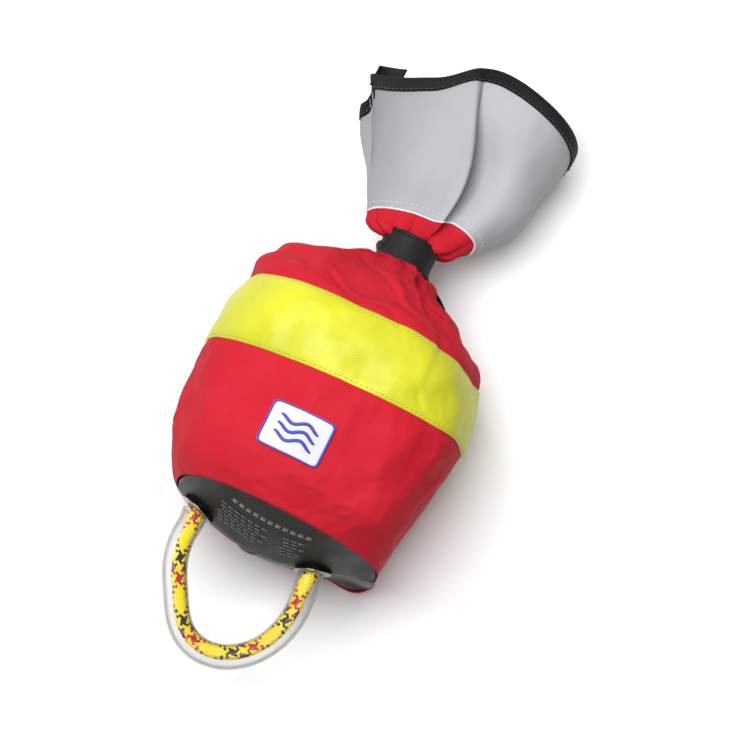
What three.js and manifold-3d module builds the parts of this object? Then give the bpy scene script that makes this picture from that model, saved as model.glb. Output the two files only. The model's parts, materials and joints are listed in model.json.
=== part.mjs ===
// A rescue throw bag lying on its back: a stuffed cloth bag with a gathered, strapped neck, a flared
// mouth collar beyond it, and a sleeved rope handle at the base.
// Millimetres, +Z up. While building, +Y runs along the bag from the base hem (y = 0) to the mouth;
// at the end the whole bag is moved so that the origin lies under the middle of its bounding box.
import * as THREE from "three";
import { mergeVertices } from "three/addons/utils/BufferGeometryUtils.js";
import Module from "manifold-3d";

const wasm = await Module();
wasm.setup();

// ---- driving dimensions ----
const AROUND = 32; // points round every cloth section
const TURN = 2 * Math.PI;

const BODY = {
  halfWidth: 92.5, // at the widest station
  widestAt: 103,
  taper: 9, // how much the sides draw in evenly towards the base
  hemTuck: 14.5, // and how much more they tuck in close to the hem
  domeTop: 198, // where the shoulder would close on the axis
  domePower: 2.2,
  depthRatio: 0.86, // a lying bag is lower than it is wide
  axisHeight: 73,
  hemSlant: 3, // the upper edge of the hem leans this far towards the mouth
  wall: 1.5,
};
const NECK = { radius: 14.5, height: 58, from: 194.8, to: 215 };
const BAND = { from: 94, to: 145, gap: 0.35, thick: 0.9 };
const FLOOR_UNDER_BAND = 1.4; // the band is between the body and the floor
const STRAP = { inner: 14.8, thick: 1.2, from: 195.4, to: 217 };
const BASE = { bulge: 20, thick: 1.6, edgePower: 2.6, edgeGap: 0.4 };
const ROPE = { radius: 4.75 };
const HOSE = { outer: 8.6, inner: 7.2 };
// The loop is widest `shoulder` beyond its pivots, and its bottom lies `reach` beyond that.
const HANDLE = {
  halfWidth: 45.4,
  offset: -4,
  shoulder: 18,
  reach: 54,
  flare: 0.31, // radians of ellipse above the widest place
  press: 0.15, // how far the left side is pushed in, as a share of its distance from the middle
  pressAt: 0.6, // radians
  pressSpread: 0.58,
  droop: 0.12, // radians
  pivotGap: 10.5, // from the panel to the pivots
};
const EYELET = { bore: 7.4, barrel: 8.4, flange: 13, rim: 1.2 };
const COLLAR = {
  from: 219,
  rimMean: 319,
  rimFront: 24, // the upper lip reaches further than the lower one
  rimSide: 0.5,
  startHalfWidth: 6,
  skirtHalfWidth: 34, // where the cloth springs from the strap
  halfWidth: 72,
  halfDepth: 40,
  rimHeight: 43.5, // height of the middle of the mouth
  wall: 1.2,
};
const SEAM_AT = 0.17; // where the silver band starts, as a share of the collar's length

// ---- colours ----
const fabric = (color) => new THREE.MeshStandardMaterial({ color, roughness: 0.85, metalness: 0 });
const RED = fabric(0xd62a3c);
const YELLOW = fabric(0xe9ea2e);
const SILVER = fabric(0xbfc3c6);
const BLACK = fabric(0x232422);
const WHITE = fabric(0xf2f2f2);
const COATED = new THREE.MeshStandardMaterial({ color: 0x2b2c28, roughness: 0.45, metalness: 0 });
const FOAM = fabric(0xdadada);
const LINE = fabric(0xe8cf2a);
const CLEAR = new THREE.MeshStandardMaterial({
  color: 0xd9dcd8,
  roughness: 0.1,
  metalness: 0,
  transparent: true,
  opacity: 0.35,
});
const NICKEL = new THREE.MeshStandardMaterial({ color: 0xb9b9b4, roughness: 0.3, metalness: 1 });

// ---- small helpers ----
const clamp01 = (t) => Math.min(1, Math.max(0, t));
const smooth = (t) => clamp01(t) ** 2 * (3 - 2 * clamp01(t));
const mix = (a, b, t) => a + (b - a) * t;
const signedPower = (v, p) => Math.sign(v) * Math.abs(v) ** p;

function meshOf(name, geometry, material) {
  const mesh = new THREE.Mesh(geometry, material);
  mesh.name = name;
  return mesh;
}

// A geometry from points and triangles, turned so that its faces point out.
function closedGeometry(points, triangles) {
  let volume = 0;
  for (const [a, b, c] of triangles) {
    volume += points[a].dot(new THREE.Vector3().crossVectors(points[b], points[c]));
  }
  const index = triangles.flatMap(([a, b, c]) => (volume < 0 ? [a, c, b] : [a, b, c]));
  const geometry = new THREE.BufferGeometry().setFromPoints(points);
  geometry.setIndex(index);
  return geometry;
}

// Joins rings of equal length one after another. With `loop` the last ring meets the first;
// otherwise both end rings are closed by a fan round their middle.
function loft(rings, loop = false) {
  const n = rings[0].length;
  const points = rings.flat();
  const triangles = [];
  const joints = loop ? rings.length : rings.length - 1;
  for (let i = 0; i < joints; i++) {
    const low = i * n;
    const high = ((i + 1) % rings.length) * n;
    for (let j = 0; j < n; j++) {
      const k = (j + 1) % n;
      triangles.push([low + j, low + k, high + k], [low + j, high + k, high + j]);
    }
  }
  if (!loop) {
    for (const [first, flip] of [[0, true], [(rings.length - 1) * n, false]]) {
      const middle = new THREE.Vector3();
      for (let j = 0; j < n; j++) middle.addScaledVector(points[first + j], 1 / n);
      points.push(middle);
      const hub = points.length - 1;
      for (let j = 0; j < n; j++) {
        const k = (j + 1) % n;
        triangles.push(flip ? [hub, first + k, first + j] : [hub, first + j, first + k]);
      }
    }
  }
  return closedGeometry(points, triangles);
}

// A strip of cloth as a solid: at(u, v, layer) gives its points, layer 0 inside and 1 outside.
function strip(at, stepsU, stepsV) {
  const outlines = [];
  for (let i = 0; i <= stepsU; i++) {
    const ring = [];
    for (let j = 0; j <= stepsV; j++) ring.push(at(i / stepsU, j / stepsV, 0));
    for (let j = stepsV; j >= 0; j--) ring.push(at(i / stepsU, j / stepsV, 1));
    outlines.push(ring);
  }
  return loft(outlines);
}

// A band of cloth all the way round: rings on its inside, then back over its outside.
function hoop(at, stepsV) {
  const rings = [];
  for (let j = 0; j <= stepsV; j++) rings.push(ringOf((angle) => at(angle, j / stepsV, 0)));
  for (let j = stepsV; j >= 0; j--) rings.push(ringOf((angle) => at(angle, j / stepsV, 1)));
  return loft(rings, true);
}

function ringOf(at) {
  return Array.from({ length: AROUND }, (_, i) => at((i / AROUND) * TURN));
}

function solidOf(geometry) {
  const bare = geometry.clone();
  bare.deleteAttribute("normal");
  bare.deleteAttribute("uv");
  const merged = mergeVertices(bare, 1e-3);
  return new wasm.Manifold(
    new wasm.Mesh({
      numProp: 3,
      vertProperties: merged.attributes.position.array,
      triVerts: new Uint32Array(merged.index.array),
    }),
  );
}

function geometryOf(solid) {
  const { vertProperties, triVerts } = solid.getMesh();
  const geometry = new THREE.BufferGeometry();
  geometry.setAttribute("position", new THREE.BufferAttribute(new Float32Array(vertProperties), 3));
  geometry.setIndex(new THREE.BufferAttribute(new Uint32Array(triVerts), 1));
  return geometry;
}

// ---- the body's shape ----
function bodyHalfWidth(y) {
  if (y < BODY.widestAt) {
    const share = (BODY.widestAt - y) / BODY.widestAt;
    return BODY.halfWidth - BODY.taper * share ** 2 - BODY.hemTuck * share ** 7.5;
  }
  const share = (y - BODY.widestAt) / (BODY.domeTop - BODY.widestAt);
  return BODY.halfWidth * (1 - share ** BODY.domePower) ** (1 / BODY.domePower);
}

// The middle of the section drops towards the neck, which the lying collar pulls down.
function bodyAxisHeight(y) {
  return mix(BODY.axisHeight, NECK.height, smooth((y - 122) / 68));
}

// A point of the body's surface, `out` millimetres outside it and never below `floor`.
function bodyPoint(y, angle, out, floor = 0) {
  const sharpness = Math.sin(angle) < 0 ? mix(3.2, 2.2, smooth(y / 70)) : 2.2;
  const width = bodyHalfWidth(y) + out;
  const depth = bodyHalfWidth(y) * BODY.depthRatio + out;
  const x = width * signedPower(Math.cos(angle), 2 / sharpness);
  const z = bodyAxisHeight(y) + depth * signedPower(Math.sin(angle), 2 / sharpness);
  const slant = BODY.hemSlant * Math.sin(angle) * (1 - smooth(y / 40));
  return new THREE.Vector3(x, y + slant, Math.max(z, floor));
}

const BAND_STATIONS = [0, 0.25, 0.5, 0.75, 1].map((t) => mix(BAND.from, BAND.to, t));
const BODY_STATIONS = [0, 5, 14, 30, 55, 85, ...BAND_STATIONS, 157, 168, 178, 186];
const floorAt = (y) => (y < BAND.from - 1 ? 0 : FLOOR_UNDER_BAND);

function bodyShell() {
  const outer = [...BODY_STATIONS, 190.5, 194].map((y) =>
    ringOf((a) => bodyPoint(y, a, 0, floorAt(y))),
  );
  // The wall is even, so near the shoulder's crown the inside also lies further back.
  const inner = BODY_STATIONS.map((y) => {
    const back = BODY.wall * clamp01((y - BODY.widestAt) / 70) ** 2;
    return ringOf((a) => {
      const p = bodyPoint(y, a, -BODY.wall, floorAt(y) + BODY.wall);
      return p.setY(p.y - back);
    });
  });
  const neck = [NECK.from, NECK.to].map((y) =>
    ringOf((a) => roundNeck(y, a, NECK.radius)),
  );
  return loft([...inner.reverse(), ...outer, ...neck]);
}

function roundNeck(y, angle, radius) {
  return new THREE.Vector3(radius * Math.cos(angle), y, NECK.height + radius * Math.sin(angle));
}

function reflectiveBand() {
  const inner = BAND.gap;
  const outer = BAND.gap + BAND.thick;
  return hoop((angle, v, layer) => {
    const y = mix(BAND.from, BAND.to, v);
    const floor = layer ? 0 : FLOOR_UNDER_BAND - BAND.gap;
    return bodyPoint(y, angle, layer ? outer : inner, floor);
  }, BAND_STATIONS.length - 1);
}

function labelPatch() {
  const middle = { x: -13.3, y: 46.4 };
  const size = { x: 47, y: 30.5 };
  return strip((u, v, layer) => {
    const x = middle.x + (u - 0.5) * size.x;
    const y = middle.y + (v - 0.5) * size.y;
    const width = bodyHalfWidth(y);
    const rise = (1 - Math.abs(x / width) ** 2.2) ** (1 / 2.2);
    const z = bodyAxisHeight(y) + width * BODY.depthRatio * rise;
    return new THREE.Vector3(x, y, z + (layer ? 1.3 : 0.5));
  }, 8, 4);
}

// ---- the base panel and what passes through it ----
const HALF_SPAN = HANDLE.halfWidth * Math.cos(HANDLE.flare);
const handleX = (side) => HANDLE.offset + side * HALF_SPAN;

// How far the base panel bulges past the hem, `share` being 0 at its middle and 1 at its edge.
const bulge = (share) => BASE.bulge * (1 - share ** BASE.edgePower);

function basePoint(share, angle, lift) {
  const edge = bodyPoint(0, angle, -BODY.wall - BASE.edgeGap);
  return new THREE.Vector3(
    edge.x * share,
    edge.y * share + BASE.thick - bulge(share) + lift,
    mix(BODY.axisHeight, edge.z, share),
  );
}

// Where an eyelet's middle lies on the outside of the panel, and the panel's slope there.
function eyeletSeat(side) {
  const reach = bodyHalfWidth(0) - BODY.wall - BASE.edgeGap;
  const share = Math.abs(handleX(side)) / reach;
  const slope = (BASE.bulge * BASE.edgePower * share ** (BASE.edgePower - 1)) / reach;
  return {
    place: new THREE.Vector3(handleX(side), BASE.thick - bulge(share), BODY.axisHeight),
    tilt: side * Math.atan(slope),
  };
}

// Puts a geometry made along +Y onto an eyelet's seat, square to the panel there.
function onSeat(geometry, side) {
  const { place, tilt } = eyeletSeat(side);
  return geometry.rotateZ(tilt).translate(place.x, place.y, place.z);
}

function basePanel() {
  const shares = [0.2, 0.42, 0.62, 0.78, 0.91, 1];
  const outside = shares.map((share) => ringOf((a) => basePoint(share, a, 0)));
  const inside = shares.map((share) => ringOf((a) => basePoint(share, a, BASE.thick)));
  let panel = solidOf(loft([...inside, ...outside.reverse()]));
  for (const side of [-1, 1]) {
    const hole = onSeat(new THREE.CylinderGeometry(EYELET.barrel + 0.4, EYELET.barrel + 0.4, 20, 20), side);
    panel = panel.subtract(solidOf(hole));
  }
  return geometryOf(panel);
}

// A flange outside the panel, a barrel through it and a rolled lip inside.
function eyelet(side) {
  const under = -0.4; // the flange's underside, clear of the panel
  const lip = BASE.thick + 1.4;
  const profile = [
    [EYELET.bore, under - EYELET.rim],
    [EYELET.flange, under - EYELET.rim * 0.6],
    [EYELET.flange, under],
    [EYELET.barrel, under],
    [EYELET.barrel, lip],
    [EYELET.barrel + 1.5, lip + 0.3],
    [EYELET.barrel + 1.5, lip + 1.1],
    [EYELET.bore, lip + 1.3],
  ].map(([r, y]) => new THREE.Vector2(r, y));
  return onSeat(new THREE.LatheGeometry([...profile, profile[0]], 20), side);
}

// ---- the handle: a rope loop in a clear hose ----
// The loop lies in its own XY plane: two quarter-ellipse shoulders and a half-ellipse bottom,
// pushed in a little on its left side.
class HandleLine extends THREE.Curve {
  getPoint(t, target = new THREE.Vector3()) {
    const angle = mix(-HANDLE.flare, Math.PI + HANDLE.flare, t);
    const rise = Math.sin(angle) < 0 ? HANDLE.shoulder / Math.sin(HANDLE.flare) : HANDLE.reach;
    const nearPress = Math.exp(-(((angle - HANDLE.pressAt) / HANDLE.pressSpread) ** 2));
    const size = 1 - HANDLE.press * nearPress * smooth((angle + HANDLE.flare) / HANDLE.flare);
    return target.set(
      -HANDLE.halfWidth * Math.cos(angle) * size,
      -HANDLE.shoulder - rise * Math.sin(angle) * size,
      0,
    );
  }
}

function along(curve, radius, steps, sides, hole = 0) {
  const section = new THREE.Shape(polygon(radius, sides));
  if (hole) section.holes.push(new THREE.Path(polygon(hole, sides)));
  return new THREE.ExtrudeGeometry(section, { steps, extrudePath: curve, bevelEnabled: false });
}

function polygon(radius, sides) {
  return Array.from({ length: sides }, (_, i) => {
    const angle = (i / sides) * TURN;
    return new THREE.Vector2(radius * Math.cos(angle), radius * Math.sin(angle));
  });
}

const PIVOT_Y = eyeletSeat(1).place.y - HANDLE.pivotGap;

function handle() {
  const group = new THREE.Group();
  group.position.set(HANDLE.offset, PIVOT_Y, BODY.axisHeight);
  group.rotation.x = HANDLE.droop;
  let rope = solidOf(along(new HandleLine(), ROPE.radius, 32, 8));
  for (const side of [-1, 1]) {
    const end = new THREE.SphereGeometry(ROPE.radius, 10, 6);
    end.translate(side * HALF_SPAN, 0, 0);
    rope = rope.add(solidOf(end));
  }
  group.add(meshOf("handle_rope", geometryOf(rope), LINE));
  group.add(meshOf("handle_hose", along(new HandleLine(), HOSE.outer, 32, 12, HOSE.inner), CLEAR));
  return group;
}

// ---- inside the bag ----
const KNOT = { halfLength: 11, radius: 12.5, at: 8.5 };

function knot(x, y, z, lengthwise) {
  const shape = new THREE.SphereGeometry(1, 14, 8);
  shape.scale(KNOT.radius, KNOT.halfLength, KNOT.radius);
  if (!lengthwise) shape.rotateX(Math.PI / 2);
  return shape.translate(x, y, z);
}

// The rope from a knot through its eyelet, stopping short of the loop's rounded end and of the
// hose's edge, which swings past it.
const STUB_GAP = 3.3;

function ropeStub(side) {
  const start = new THREE.Vector3(handleX(side), KNOT.at - KNOT.halfLength - 0.4, BODY.axisHeight);
  const end = new THREE.Vector3(handleX(side), PIVOT_Y + ROPE.radius + STUB_GAP, BODY.axisHeight);
  return along(new THREE.LineCurve3(start, end), ROPE.radius, 2, 12);
}

const FOAM_DISC = { from: 30, to: 46, hole: 9.5 };
const FILL_GAP = 2;

function insideRing(y, share) {
  return ringOf((a) => {
    const p = bodyPoint(y, a, -BODY.wall - FILL_GAP, BODY.wall + FILL_GAP + FLOOR_UNDER_BAND);
    p.y = y;
    p.x *= share;
    p.z = mix(bodyAxisHeight(y), p.z, share);
    return p;
  });
}

function foamDisc() {
  const hole = (y) =>
    ringOf(
      (a) =>
        new THREE.Vector3(
          FOAM_DISC.hole * Math.cos(a),
          y,
          BODY.axisHeight + FOAM_DISC.hole * Math.sin(a),
        ),
    );
  return loft(
    [
      hole(FOAM_DISC.from),
      hole(FOAM_DISC.to),
      insideRing(FOAM_DISC.to, 1),
      insideRing(FOAM_DISC.from, 0.99),
    ],
    true,
  );
}

// The stuffed line, as the one solid that its lie fills.
function ropePack() {
  const layers = [
    [49.5, 0.8],
    [55, 0.97],
    [75, 0.98],
    [94, 0.97],
    [112, 0.98],
    [130, 0.97],
    [146, 0.95],
    [156, 0.88],
    [160, 0.7],
  ];
  return loft(layers.map(([y, share]) => insideRing(y, share)));
}

// The line from the right-hand knot through the foam to the stuffed line.
function leadLine() {
  const height = BODY.axisHeight;
  const bend = FOAM_DISC.from - 6.5; // half-way through the turn into the foam's hole
  const route = new THREE.CatmullRomCurve3([
    new THREE.Vector3(handleX(1) - 10.5, bend - 4, height),
    new THREE.Vector3(15, bend - 3.5, height),
    new THREE.Vector3(5.5, bend, height),
    new THREE.Vector3(1, bend + 7.5, height),
    new THREE.Vector3(0, FOAM_DISC.to - 6, height),
    new THREE.Vector3(0, FOAM_DISC.to + 3, height),
  ]);
  return along(route, ROPE.radius, 16, 10);
}

// ---- the neck strap ----
// A piece of a sleeve round the neck, between two angles.
function sleeve(inner, outer, fromY, toY, fromAngle, toAngle, steps) {
  return strip((u, v, layer) => {
    return roundNeck(mix(fromY, toY, v), mix(fromAngle, toAngle, u), layer ? outer : inner);
  }, steps, 1);
}

const TAB = { from: 0.2, to: 2.3, fromY: 196.6, toY: 216 };
const LOOP_TAPE = { inner: 16.3, outer: 16.8 };
const HOOK_TAPE = { inner: 17.1, outer: 17.6 };
const TAB_WALL = { inner: 17.9, outer: 19.1 };

function neckStrap() {
  return hoop((angle, v, layer) => {
    const radius = STRAP.inner + (layer ? STRAP.thick : 0);
    return roundNeck(mix(STRAP.from, STRAP.to, v), angle, radius);
  }, 1);
}

// The strap's sewn end, running from the neck down the back of the shoulder.
function strapAnchor() {
  const turnBack = -0.75; // radians below the right-hand side
  const halfWidth = 9;
  const thick = 1.2;
  const route = [ // distance from the neck's axis, and y
    [16.4, 212],
    [16.6, 202.4],
    [19, 198],
    [24, 196.2],
    [31, 195.2],
    [41, 191.8],
    [51, 186.2],
  ];
  return strip((u, v, layer) => {
    const [radius, y] = route[Math.round(u * (route.length - 1))];
    const lift = layer ? thick : 0;
    const reach = radius + lift;
    const across = mix(-halfWidth, halfWidth, v);
    return new THREE.Vector3(
      reach * Math.cos(turnBack) + across * Math.sin(turnBack),
      y + lift * 0.9,
      NECK.height + reach * Math.sin(turnBack) - across * Math.cos(turnBack),
    );
  }, route.length - 1, 1);
}

// ---- the collar ----
const rimAt = (angle) =>
  COLLAR.rimMean + COLLAR.rimFront * Math.sin(angle) + COLLAR.rimSide * Math.cos(angle);

// A point of the collar's outer cloth. v is 0 at the neck and 1 at the rim, and `out` is
// outwards in the section; `beyond` lies past v along the bag.
function collarPoint(angle, v, out, beyond = 0) {
  const flat = (turn) => {
    const spring = Math.sqrt(1 - (1 - clamp01(v / 0.06)) ** 2);
    const skirt = mix(COLLAR.startHalfWidth, COLLAR.skirtHalfWidth, spring);
    const width = skirt + (COLLAR.halfWidth - COLLAR.skirtHalfWidth) * (1 - (1 - clamp01(v)) ** 2.2);
    const depth = mix(COLLAR.startHalfWidth, COLLAR.halfDepth, 1 - (1 - clamp01(v)) ** 1.9);
    const fold = 1 - 0.2 * smooth(v * 4) * Math.exp(-(((turn - 1.45) / 0.2) ** 2));
    return new THREE.Vector2(width * fold * Math.cos(turn), depth * fold * Math.sin(turn));
  };
  const step = 0.01;
  const here = flat(angle);
  const edge = flat(angle + step).sub(flat(angle - step)).normalize();
  const y = mix(COLLAR.from, rimAt(angle), v) + beyond;
  return new THREE.Vector3(
    here.x + edge.y * out,
    y,
    mix(NECK.height, COLLAR.rimHeight, clamp01(v) ** 0.6) + here.y - edge.x * out,
  );
}

const COLLAR_LEVELS = [0, 0.02, 0.06, SEAM_AT, 0.34, 0.6, 0.92, 1];
const BINDING = { from: 0.92, clear: 1.8, thick: 0.9, overlap: 1.6 };

function collarCloth() {
  const outside = COLLAR_LEVELS.map((v) => ringOf((a) => collarPoint(a, v, 0)));
  const inside = COLLAR_LEVELS.slice(2).map((v) =>
    ringOf((a) => collarPoint(a, v, -COLLAR.wall, v === COLLAR_LEVELS[2] ? 1.5 : 0)),
  );
  return loft([...inside, ...outside.reverse()]);
}

function collarBand() {
  return hoop((angle, t, layer) => {
    const level = COLLAR_LEVELS.indexOf(SEAM_AT);
    const v = COLLAR_LEVELS[level + Math.round(t * (COLLAR_LEVELS.length - 1 - level))];
    return collarPoint(angle, v, layer ? 1.4 : 0.5);
  }, COLLAR_LEVELS.length - 1 - COLLAR_LEVELS.indexOf(SEAM_AT));
}

// Tape folded over the rim, as a channel open towards the neck.
function mouthBinding() {
  const { from, clear, thick, overlap } = BINDING;
  const inside = -COLLAR.wall - 0.35;
  const section = [
    [clear + thick, from, 0],
    [clear + thick, 1, overlap],
    [inside - thick, 1, overlap],
    [inside - thick, from, 0],
    [inside, from, 0],
    [inside, 1, overlap - thick],
    [clear, 1, overlap - thick],
    [clear, from, 0],
  ];
  return loft(
    section.map(([out, v, beyond]) => ringOf((a) => collarPoint(a, v, out, beyond))),
    true,
  );
}

// A short pull tab sewn inside the rim at its left-hand corner.
function mouthTab() {
  return strip((u, v, layer) => {
    const angle = mix(2.5, 2.82, u);
    return collarPoint(angle, 0.95, layer ? -3 : -4.6, mix(-3, 9.5, v));
  }, 4, 2);
}

// ---- assembly ----
const bag = new THREE.Group();
bag.add(meshOf("body_shell", bodyShell(), RED));
bag.add(meshOf("reflective_band", reflectiveBand(), YELLOW));
bag.add(meshOf("label_patch", labelPatch(), WHITE));
bag.add(meshOf("base_panel", basePanel(), COATED));
for (const [label, side] of [["left", -1], ["right", 1]]) {
  bag.add(meshOf(`eyelet_${label}`, eyelet(side), NICKEL));
  bag.add(meshOf(`rope_stub_${label}`, ropeStub(side), LINE));
}
bag.add(meshOf("stopper_knot", knot(handleX(-1), KNOT.at, BODY.axisHeight, true), LINE));
bag.add(meshOf("lead_knot", knot(handleX(1), KNOT.at, BODY.axisHeight, true), LINE));
bag.add(meshOf("lead_line", leadLine(), LINE));
bag.add(meshOf("foam_float", foamDisc(), FOAM));
bag.add(meshOf("rope_pack", ropePack(), LINE));
bag.add(meshOf("free_end_knot", knot(0, 172.2, 61, false), LINE));
bag.add(meshOf("neck_strap", neckStrap(), BLACK));
bag.add(meshOf("strap_anchor", strapAnchor(), BLACK));
for (const [name, wall, inset] of [
  ["loop_tape", LOOP_TAPE, 0.05],
  ["hook_tape", HOOK_TAPE, 0.12],
  ["strap_end_tab", TAB_WALL, 0],
]) {
  const { from, to, fromY, toY } = TAB;
  const shape = sleeve(wall.inner, wall.outer, fromY, toY, from + inset, to - inset, 10);
  bag.add(meshOf(name, shape, BLACK));
}
bag.add(handle());
bag.add(meshOf("collar_cloth", collarCloth(), RED));
bag.add(meshOf("collar_band", collarBand(), SILVER));
bag.add(meshOf("mouth_binding", mouthBinding(), BLACK));
bag.add(meshOf("mouth_tab", mouthTab(), BLACK));

bag.updateMatrixWorld(true);
const bounds = new THREE.Box3().setFromObject(bag, true);
const middle = bounds.getCenter(new THREE.Vector3());
bag.position.set(-middle.x, -middle.y, -bounds.min.z);

export default bag;
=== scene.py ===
# A rescue throw bag lying on its back, seen from above its base end.
# Lengths are metres in Blender. The bag's own shapes are worked out in millimetres in the bag frame:
# x to the right, y from the base hem (0) to the mouth, z up from the floor.
import json
import math

import bpy
import numpy as np
from mathutils import Matrix, Vector, noise
from mathutils.bvhtree import BVHTree


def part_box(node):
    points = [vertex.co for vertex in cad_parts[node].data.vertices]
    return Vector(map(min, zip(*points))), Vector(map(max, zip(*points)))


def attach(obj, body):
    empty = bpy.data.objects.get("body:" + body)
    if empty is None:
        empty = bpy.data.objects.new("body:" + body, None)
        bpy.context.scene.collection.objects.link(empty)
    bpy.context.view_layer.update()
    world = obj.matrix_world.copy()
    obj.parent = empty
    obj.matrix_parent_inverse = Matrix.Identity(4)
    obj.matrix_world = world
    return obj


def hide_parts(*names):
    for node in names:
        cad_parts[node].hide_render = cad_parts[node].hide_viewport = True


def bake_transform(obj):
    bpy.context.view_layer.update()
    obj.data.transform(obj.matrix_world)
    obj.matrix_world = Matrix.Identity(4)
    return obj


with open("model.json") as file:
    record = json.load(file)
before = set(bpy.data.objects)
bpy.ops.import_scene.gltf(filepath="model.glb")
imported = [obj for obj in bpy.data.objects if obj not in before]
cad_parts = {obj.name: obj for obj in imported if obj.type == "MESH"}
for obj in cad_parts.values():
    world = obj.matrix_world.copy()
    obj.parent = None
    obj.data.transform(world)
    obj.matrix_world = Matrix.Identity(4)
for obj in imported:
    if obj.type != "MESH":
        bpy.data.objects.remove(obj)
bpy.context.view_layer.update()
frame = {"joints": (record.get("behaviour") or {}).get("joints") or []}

MM = 0.001
TURN = 2 * math.pi


def middle(node):
    low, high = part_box(node)
    return (low + high) / 2


def joint(name):
    return next(j for j in frame["joints"] if j["name"] == name)


# ---- driving sizes, in millimetres, from the frame ----
HEM_SLANT = 3
HEM_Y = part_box("body_shell")[0].y / MM + HEM_SLANT
AXIS_Z = middle("eyelet_left").z / MM
HALF_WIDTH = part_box("body_shell")[1].x / MM
NECK_Z = middle("neck_strap").z / MM
STRAP_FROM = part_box("neck_strap")[0].y / MM - HEM_Y
STRAP_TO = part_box("neck_strap")[1].y / MM - HEM_Y
BAND_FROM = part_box("reflective_band")[0].y / MM - HEM_Y
BAND_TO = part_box("reflective_band")[1].y / MM - HEM_Y
PIVOT = Vector(joint("handle_swing")["pos_m"]) / MM - Vector((0, HEM_Y, 0))
ROPE_D = (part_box("lead_line")[1].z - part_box("lead_line")[0].z) / MM


# ---- small helpers ----
def smooth(t):
    t = np.clip(t, 0, 1)
    return t * t * (3 - 2 * t)


def mix(a, b, t):
    return a + (b - a) * t


def hill(x, at, spread):
    """A smooth hill: 1 at `at`, and about a third of that `spread` away from it."""
    return np.exp(-(((x - at) / spread) ** 2))


def fade(x, reach):
    """1 up to x = 0, then falling away over `reach`."""
    return np.exp(-np.maximum(x, 0) / reach)


def circle(turn, first, second):
    """Points on the unit circle of two square directions."""
    return np.cos(turn)[:, None] * first + np.sin(turn)[:, None] * second


def bag_box(node):
    """A CAD node's low and high corners in the bag frame."""
    return [np.array(corner) / MM - [0, HEM_Y, 0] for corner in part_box(node)]


def bag_middle(node):
    return sum(bag_box(node)) / 2


def row_frame(points):
    """Bag-frame millimetres to metres in the row frame."""
    return (np.asarray(points, float) + [0, HEM_Y, 0]) * MM


def rgb(r, g, b):
    """An sRGB colour, 0 to 255, as the shader wants it."""
    shares = (value / 255 for value in (r, g, b))
    return tuple(c / 12.92 if c <= 0.04045 else ((c + 0.055) / 1.055) ** 2.4 for c in shares)


def darker(colour, share):
    return tuple(c * share for c in colour)


def unit(v):
    return v / np.maximum(np.linalg.norm(v, axis=-1, keepdims=True), 1e-9)


def bumps(points, size, seed):
    """Smooth noise from -1 to 1 at each point, with lumps about `size` millimetres across."""
    flat = np.asarray(points).reshape(-1, 3) / size + seed * 7.3
    return np.array([noise.noise(Vector(p)) for p in flat]).reshape(np.shape(points)[:-1])


def keyed(keys, angle, soften=6):
    """A closed curve through (degrees, value) keys, its corners rounded over `soften` degrees."""
    degrees = np.arange(360.0)
    at, value = zip(*keys)
    line = np.interp(degrees, at, value, period=360)
    window = np.hanning(2 * soften + 3)[1:-1]
    line = np.convolve(np.concatenate([line[-soften:], line, line[:soften]]), window / window.sum(), "valid")
    return np.interp(np.degrees(angle) % 360, degrees, line, period=360)


# ---- meshes ----
def placed(name, data):
    """A new object in the scene."""
    made = bpy.data.objects.new(name, data)
    bpy.context.scene.collection.objects.link(made)
    return made


def piece(name, points, faces, materials, uvs=None, face_materials=None):
    """A smooth-shaded object from bag-frame points. uvs has one pair for each corner, in metres of cloth."""
    mesh = bpy.data.meshes.new(name)
    mesh.from_pydata(row_frame(points).tolist(), [], faces)
    mesh.polygons.foreach_set("use_smooth", [True] * len(mesh.polygons))
    for material in materials if isinstance(materials, list) else [materials]:
        mesh.materials.append(material)
    if face_materials is not None:
        mesh.polygons.foreach_set("material_index", face_materials)
    if uvs is not None:
        layer = mesh.uv_layers.new(name="cloth")
        layer.data.foreach_set("uv", np.asarray(uvs, np.float32).ravel())
    mesh.update()
    return placed(name, mesh)


def quads(rows, columns, closed, first=0, flip=False):
    """The faces of a grid with points numbered row by row from `first`, and their (row, column) corners."""
    faces, corners = [], []
    for i in range(rows - 1):
        for j in range(columns if closed else columns - 1):
            k = (j + 1) % columns
            face = [i * columns + j, i * columns + k, (i + 1) * columns + k, (i + 1) * columns + j]
            corner = [(i, j), (i, j + 1), (i + 1, j + 1), (i + 1, j)]
            if flip:
                face.reverse()
                corner.reverse()
            faces.append([first + f for f in face])
            corners.append(corner)
    return faces, corners


def grid_normals(grid, closed):
    if closed:
        across = np.roll(grid, -1, axis=1) - np.roll(grid, 1, axis=1)
    else:
        across = np.gradient(grid, axis=1)
    return unit(np.cross(across, np.gradient(grid, axis=0)))


def cloth_uvs(corners, cell):
    """Places on the cloth, in metres, for (row, column) corners of cells that are `cell` millimetres."""
    return [(j * cell[0] * MM, i * cell[1] * MM) for corner in corners for i, j in corner]


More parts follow.
